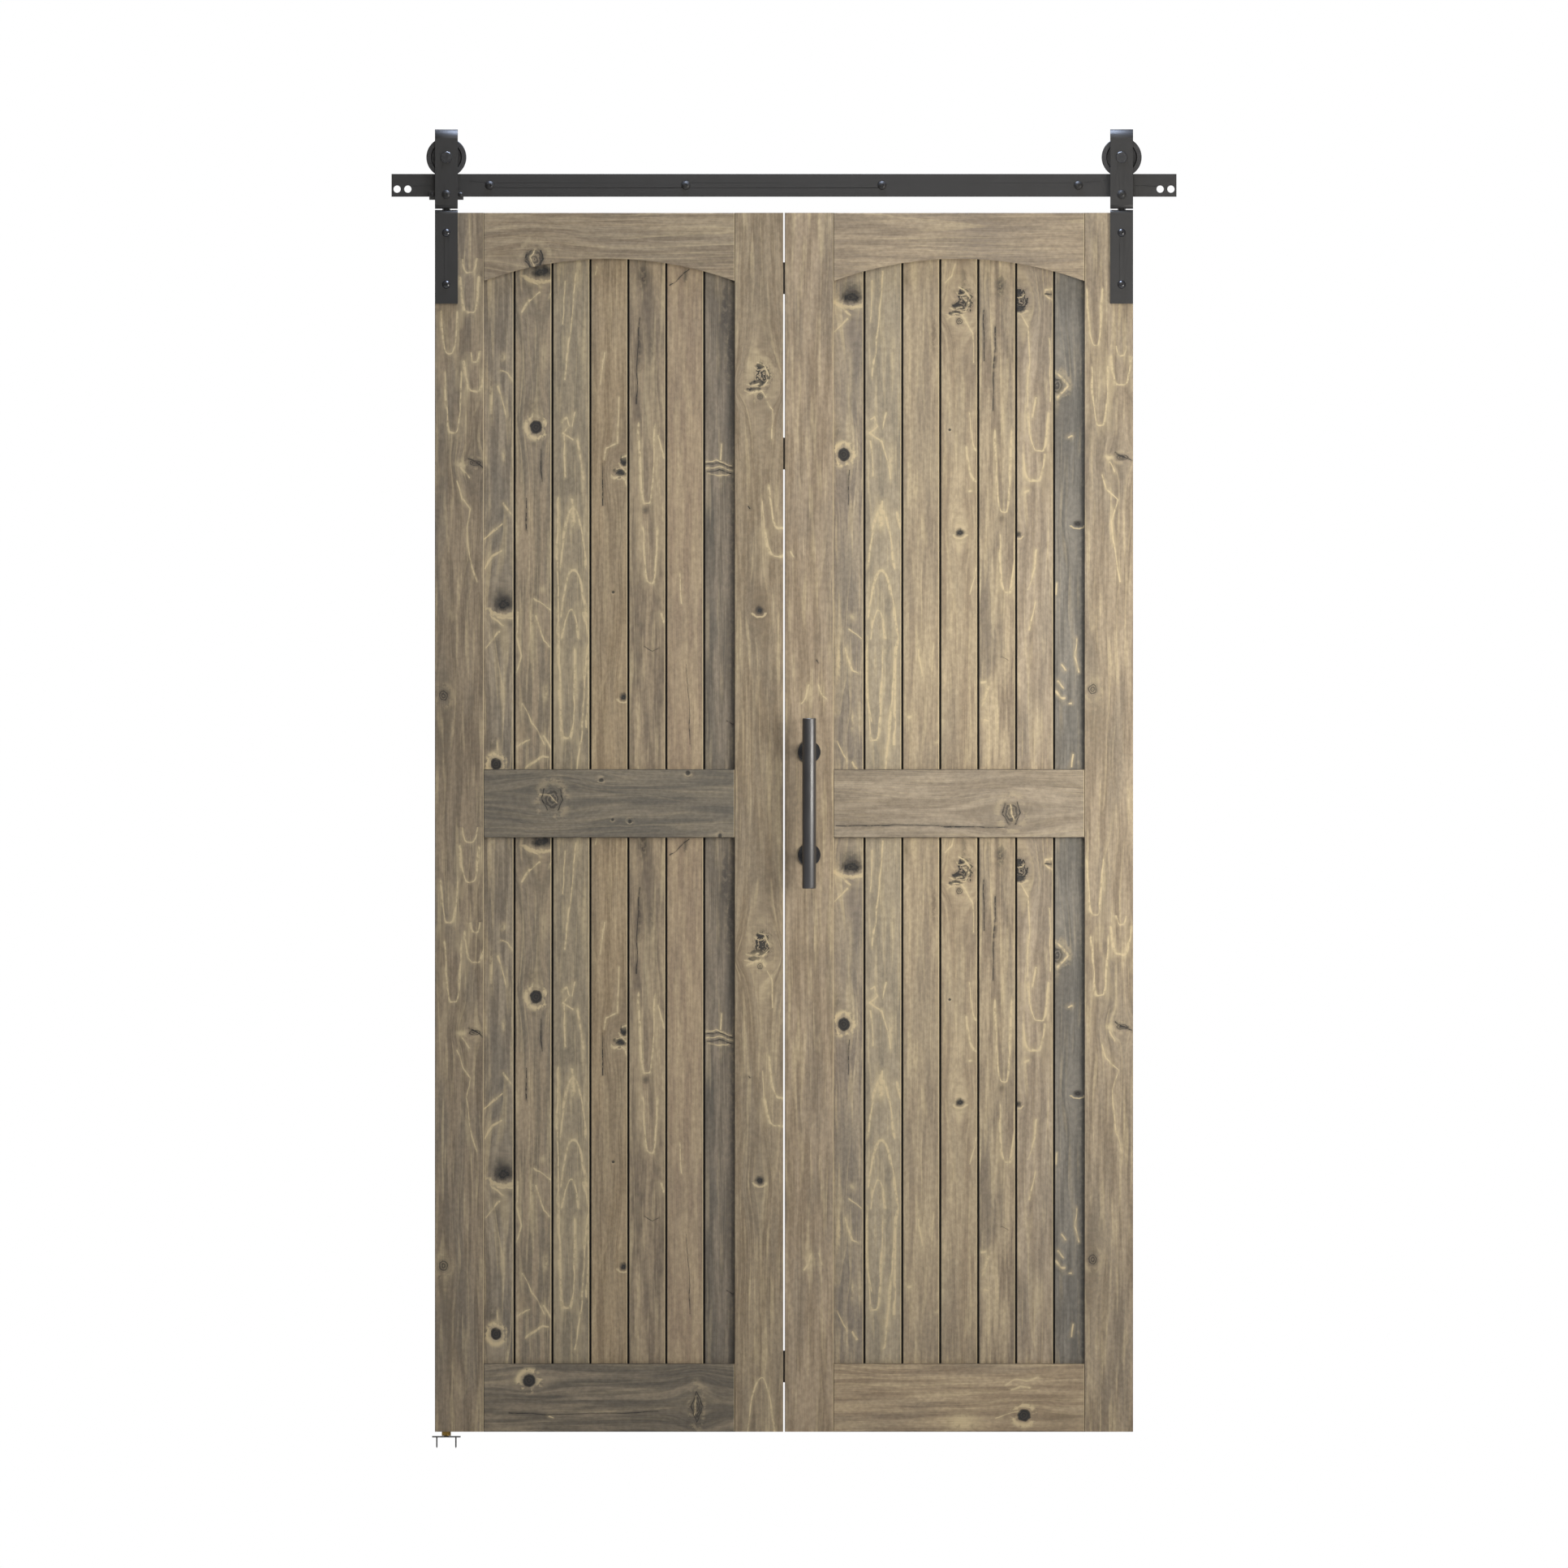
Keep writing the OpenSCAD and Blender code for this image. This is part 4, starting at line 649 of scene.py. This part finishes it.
        lying=True, seed=119.2, light="#a39279", dark="#8c7d68", lines=0.4, pith=-20, curve=10, weather=0.3,
        patch="#857a6b",
        blots=[(346, 44, 30, 50, "#857868", 0.5)]),
    "rightMiddleRail": dict(
        lying=True, seed=124.5, light="#9e907b", dark="#887b68", lines=0.25, pith=-1060, curve=10, weather=0.2,
        knots=[(398, 1050, 15, 19, "ringed")],
        strokes=[("soot", 1.4, (92, 1073), (210, 1072), (390, 1076)),
                 ("soot", 1.8, (386, 1034), (383, 1052), (394, 1070)),
                 ("soot", 1.8, (408, 1032), (413, 1050), (404, 1070)), ("cream", 1.6, (396, 1036), (402, 1064))]),
    "rightBottomRail": dict(
        lying=True, seed=131.8, light="#ae9b7e", dark="#907e66", lines=0.35, pith=-2060, curve=9, weather=0.3,
        knots=[(420, 2105, 12, 11, "round")],
        blots=[(312, 2117, 24, 12, stain["cream"], 1.4), (480, 2112, 34, 12, "#75674f", 0.5)],
        strokes=[("cream", 2.4, (388, 2052), (406, 2042), (424, 2044), (444, 2038)),
                 ("cream", 2.4, (398, 2060), (414, 2054), (430, 2056)), ("cream", 2.0, (372, 2110), (408, 2098))]),
}

boardPlaces = {"OuterStile": "outer_stile", "InnerStile": "inner_stile", "TopRail": "top_rail",
               "MiddleRail": "middle_rail", "BottomRail": "bottom_rail"}
planksPerPanel = 7
for side in ("left", "right"):
    plankFinish = []
    for count in range(1, planksPerPanel + 1):
        board = boards[f"{side}Board{count}"]
        board["plank"] = True
        plankFinish.append(stainedPine(f"stainedPine_{side}_board_{count}", board))
    if side == "right":
        plankFinish.reverse()  # the model counts from the outer stile
    joints = []
    for count, finish in enumerate(plankFinish, 1):
        plank = f"{side}_upper_plank_{count}"
        dress([plank], finish)
        low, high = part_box(plank)
        joints.append(abs(low.x if side == "left" else high.x))  # distance of its outer edge from the middle
    lower = nodes[f"{side}_lower_planks"].data
    lower.materials.clear()
    for finish in plankFinish:
        lower.materials.append(finish)
    for face in lower.polygons:
        face.material_index = max(sum(abs(face.center.x) <= edge for edge in joints) - 1, 0)
    stiles = sorted(("inner_stile", "outer_stile"), key=lambda piece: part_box(f"{side}_{piece}")[0].x)
    seams = [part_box(f"{side}_{stiles[0]}")[1].x / mm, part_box(f"{side}_{stiles[1]}")[0].x / mm]
    for place, piece in boardPlaces.items():
        board = boards[side + place]
        if piece in stiles:  # painted highlight on the arris that faces the light, painted shade on the other
            board["seams"] = [(seams[0], "cream")] if piece == stiles[0] else [(seams[1], "pooled")]
        else:
            board["seams"] = [(seams[0], "pooled"), (seams[1], "cream")]
        dress([f"{side}_{piece}"], stainedPine(f"stainedPine_{side}_{piece}", board))
print("pine boards stained:", len(boards))

easing = dict(sharpest=35, weld=0.001, boards=0.8, boardSteps=1, steel=0.4, steelSteps=2)  # degrees and mm


def easeEdges(names, width, steps):  # the small round or flat worked along every sharp edge
    for name in names:
        weld = nodes[name].modifiers.new("weld", "WELD")
        weld.merge_threshold = easing["weld"] * mm
        bevel = nodes[name].modifiers.new("easedEdge", "BEVEL")
        bevel.width = width * mm
        bevel.segments = steps
        bevel.limit_method = "ANGLE"
        bevel.angle_limit = math.radians(easing["sharpest"])
        bevel.harden_normals = True


frameBoards = [f"{side}_{piece}" for side in ("left", "right") for piece in boardPlaces.values()]
easeEdges(frameBoards, easing["boards"], easing["boardSteps"])
easeEdges(["track_bar", "left_hanger_strap", "right_hanger_strap", "left_door_bracket", "right_door_bracket",
           "clamp_block", "right_guide_block", "handle_bar"], easing["steel"], easing["steelSteps"])
print("edges eased")

# Black hardware, with the size of the surface's peel and of its rubbed patches in mm
coats = dict(
    # satin powder coat: fine orange peel and an even, soft gloss
    powderCoatedSteel=dict(dark="#292827", light="#31302f", peel=1.6, rub=45, glossy=0.42, matt=0.55, relief=0.03,
                           ior=1.5),
    # hot blacked round bar: a smooth oxide skin that draws one broad highlight down its side
    hotBlackedSteel=dict(dark="#232122", light="#2b292a", peel=1.2, rub=30, glossy=0.38, matt=0.46, relief=0.004,
                         ior=2.05),
    # oiled black oxide on screws and posts: darker, with a small sharp glint
    blackOxideSteel=dict(dark="#222224", light="#2e2e30", peel=2.0, rub=8, glossy=0.18, matt=0.28, relief=0.02,
                         ior=1.75),
    # turned nylon wheel: tool marks give a dull sheen
    turnedBlackNylon=dict(dark="#2b2a2b", light="#353435", peel=0.9, rub=20, glossy=0.36, matt=0.5, relief=0.02,
                          ior=1.53),
    # painted hinge leaves: thin paint over rolled steel, rubbed lighter in patches
    paintedHingeSteel=dict(dark="#2e2c2a", light="#3b3936", peel=1.2, rub=15, glossy=0.35, matt=0.5, relief=0.02,
                           ior=1.5),
)

# Turned or ground metal: faint tool marks vary its colour and gloss
metals = dict(
    turnedBrass=dict(dark="#9a7a3c", light="#c3a15c", marks=3, glossy=0.25, matt=0.42),
    groundBearingSteel=dict(dark="#8d8d8c", light="#b5b5b3", marks=4, glossy=0.2, matt=0.35),
)


def coatedSteel(name, finish):
    material, add, links, shader = newMaterial(name)
    place = add("TexCoord").node.outputs["Object"]
    peel = add("TexNoise", None, Vector=place, Scale=1 / (finish["peel"] * mm), Detail=2.0)
    rubbed = add("TexNoise", None, Vector=place, Scale=1 / (finish["rub"] * mm), Detail=4.0)
    colour = add("Mix", blended, rubbed, hexLinear(finish["dark"]), hexLinear(finish["light"]))
    gloss = add("MapRange", None, rubbed, 0.3, 0.7, finish["glossy"], finish["matt"])
    relief = add("Bump", None, Height=peel, Distance=finish["relief"] * mm)
    links.new(colour, shader["Base Color"])
    links.new(gloss, shader["Roughness"])
    links.new(relief, shader["Normal"])
    shader["IOR"].default_value = finish["ior"]
    return material


def bareMetal(name, finish):
    material, add, links, shader = newMaterial(name)
    place = add("TexCoord").node.outputs["Object"]
    marks = add("TexNoise", None, Vector=place, Scale=1 / (finish["marks"] * mm), Detail=3.0)
    colour = add("Mix", blended, marks, hexLinear(finish["dark"]), hexLinear(finish["light"]))
    gloss = add("MapRange", None, marks, 0.0, 1.0, finish["glossy"], finish["matt"])
    links.new(colour, shader["Base Color"])
    links.new(gloss, shader["Roughness"])
    shader["Metallic"].default_value = 1.0
    return material


made = {name: coatedSteel(name, finish) for name, finish in coats.items()}
made.update({name: bareMetal(name, finish) for name, finish in metals.items()})
slotFinish = {
    "coated_steel": "powderCoatedSteel", "handle_steel": "hotBlackedSteel", "black_fasteners": "blackOxideSteel",
    "hinge_steel": "paintedHingeSteel", "wheel_nylon": "turnedBlackNylon", "bearing_steel": "groundBearingSteel",
    "brass_bush": "turnedBrass",
}
for part in frame["record"]["subparts"]:
    if part["material_slot"] in slotFinish:
        dress([part["node"]], made[slotFinish[part["material_slot"]]])
dress(["track_lag_screws", "clamp_screws", "right_strap_screw"], made["powderCoatedSteel"])  # coated with the bar
dress(["handle_posts"], made["blackOxideSteel"])  # darker than the bar they carry
print("hardware finished")

# Floor, light and camera
studio = dict(floorHex="#e9e7e3", floorSize=9.0, floorMottle=3.0, floorSheen=(0.7, 0.85), fadeStart=0.9, fadeEnd=3.6,
              skyHex="#f7f5f2", skyLight=0.2, whiteWall=1.0)
lamps = dict(
    keyLamp=dict(place=(1.5, -1.5, -0.9), target=(0.4, 0, -0.9), size=1.15, watts=13.9, spread=110, tone="#fffbf4"),
    overheadLamp=dict(place=(0.1, -2.3, 0.9), target=(-0.05, 0, -1.1), size=2.0, watts=17.8, spread=150,
                      tone="#fffefb"),
    # for the back and the floor behind
    backLamp=dict(place=(-0.6, 3.0, 1.0), target=(0, 0, -1.3), size=2.4, watts=45, spread=180, tone="#ffffff"),
    # for the tops of the straps
    topLamp=dict(place=(0.0, 0.05, 1.4), target=(0, 0.05, 0), size=1.2, watts=85, spread=180, tone="#d2e1ff"),
)
view = dict(height=-1.0478, away=6, width=2.7445, far=50)
white = (1, 1, 1, 1)

material, add, links, shader = newMaterial("paleFloor")
place = add("TexCoord").node.outputs["Object"]
speckle = add("TexNoise", None, Vector=place, Scale=studio["floorMottle"], Detail=5.0)
links.new(add("MapRange", None, speckle, 0.0, 1.0, *studio["floorSheen"]), shader["Roughness"])
shader["Base Color"].default_value = hexLinear(studio["floorHex"])
away = add("VectorMath", "LENGTH", place)
share = add("MapRange", smooth, away, studio["fadeStart"], studio["fadeEnd"])
share = add("Math", "MULTIPLY", share, add("LightPath").node.outputs["Is Camera Ray"])
surface = shader["Base Color"].node.outputs[0]
faded = add("MixShader", None, share, surface, add("Emission", None, white, studio["whiteWall"]))
links.new(faded, material.node_tree.nodes["Material Output"].inputs["Surface"])  # no edge against the wall
half = studio["floorSize"] / 2
mesh = bpy.data.meshes.new("floor")
mesh.from_pydata([(-half, -half, 0), (half, -half, 0), (half, half, 0), (-half, half, 0)], [], [(0, 1, 2, 3)])
mesh.materials.append(material)
floor = bpy.data.objects.new("floor", mesh)
floor.location = (0, 0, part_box("floor_bracket")[0].z)
bpy.context.scene.collection.objects.link(floor)

world = bpy.data.worlds.new("studioWorld")
world.use_nodes = True
sky = world.node_tree
for old in list(sky.nodes):
    sky.nodes.remove(old)
seen = addNode(sky, "LightPath").node.outputs["Is Camera Ray"]
soft = addNode(sky, "Background", None, hexLinear(studio["skyHex"]), studio["skyLight"])
wall = addNode(sky, "Background", None, white, studio["whiteWall"])
mixed = addNode(sky, "MixShader", None, seen, soft, wall)
sky.links.new(mixed, addNode(sky, "OutputWorld").inputs["Surface"])
bpy.context.scene.world = world

for name, setting in lamps.items():
    lamp = bpy.data.lights.new(name, "AREA")
    lamp.shape = "DISK"
    lamp.size = setting["size"]
    lamp.energy = setting["watts"]
    lamp.spread = math.radians(setting["spread"])
    lamp.color = hexLinear(setting["tone"])[:3]
    holder = bpy.data.objects.new(name, lamp)
    holder.location = setting["place"]
    towards = Vector(setting["target"]) - Vector(setting["place"])
    holder.rotation_euler = towards.to_track_quat("-Z", "Y").to_euler()
    bpy.context.scene.collection.objects.link(holder)

cameraData = bpy.data.cameras.new("camera")
cameraData.type = "ORTHO"
cameraData.ortho_scale = view["width"]
cameraData.clip_end = view["far"]
camera = bpy.data.objects.new("camera", cameraData)
camera.location = (0, -view["away"], view["height"])
camera.rotation_euler = (math.radians(90), 0, 0)
bpy.context.scene.collection.objects.link(camera)
bpy.context.scene.camera = camera
bpy.context.scene.view_settings.view_transform = "Standard"
print("studio ready")
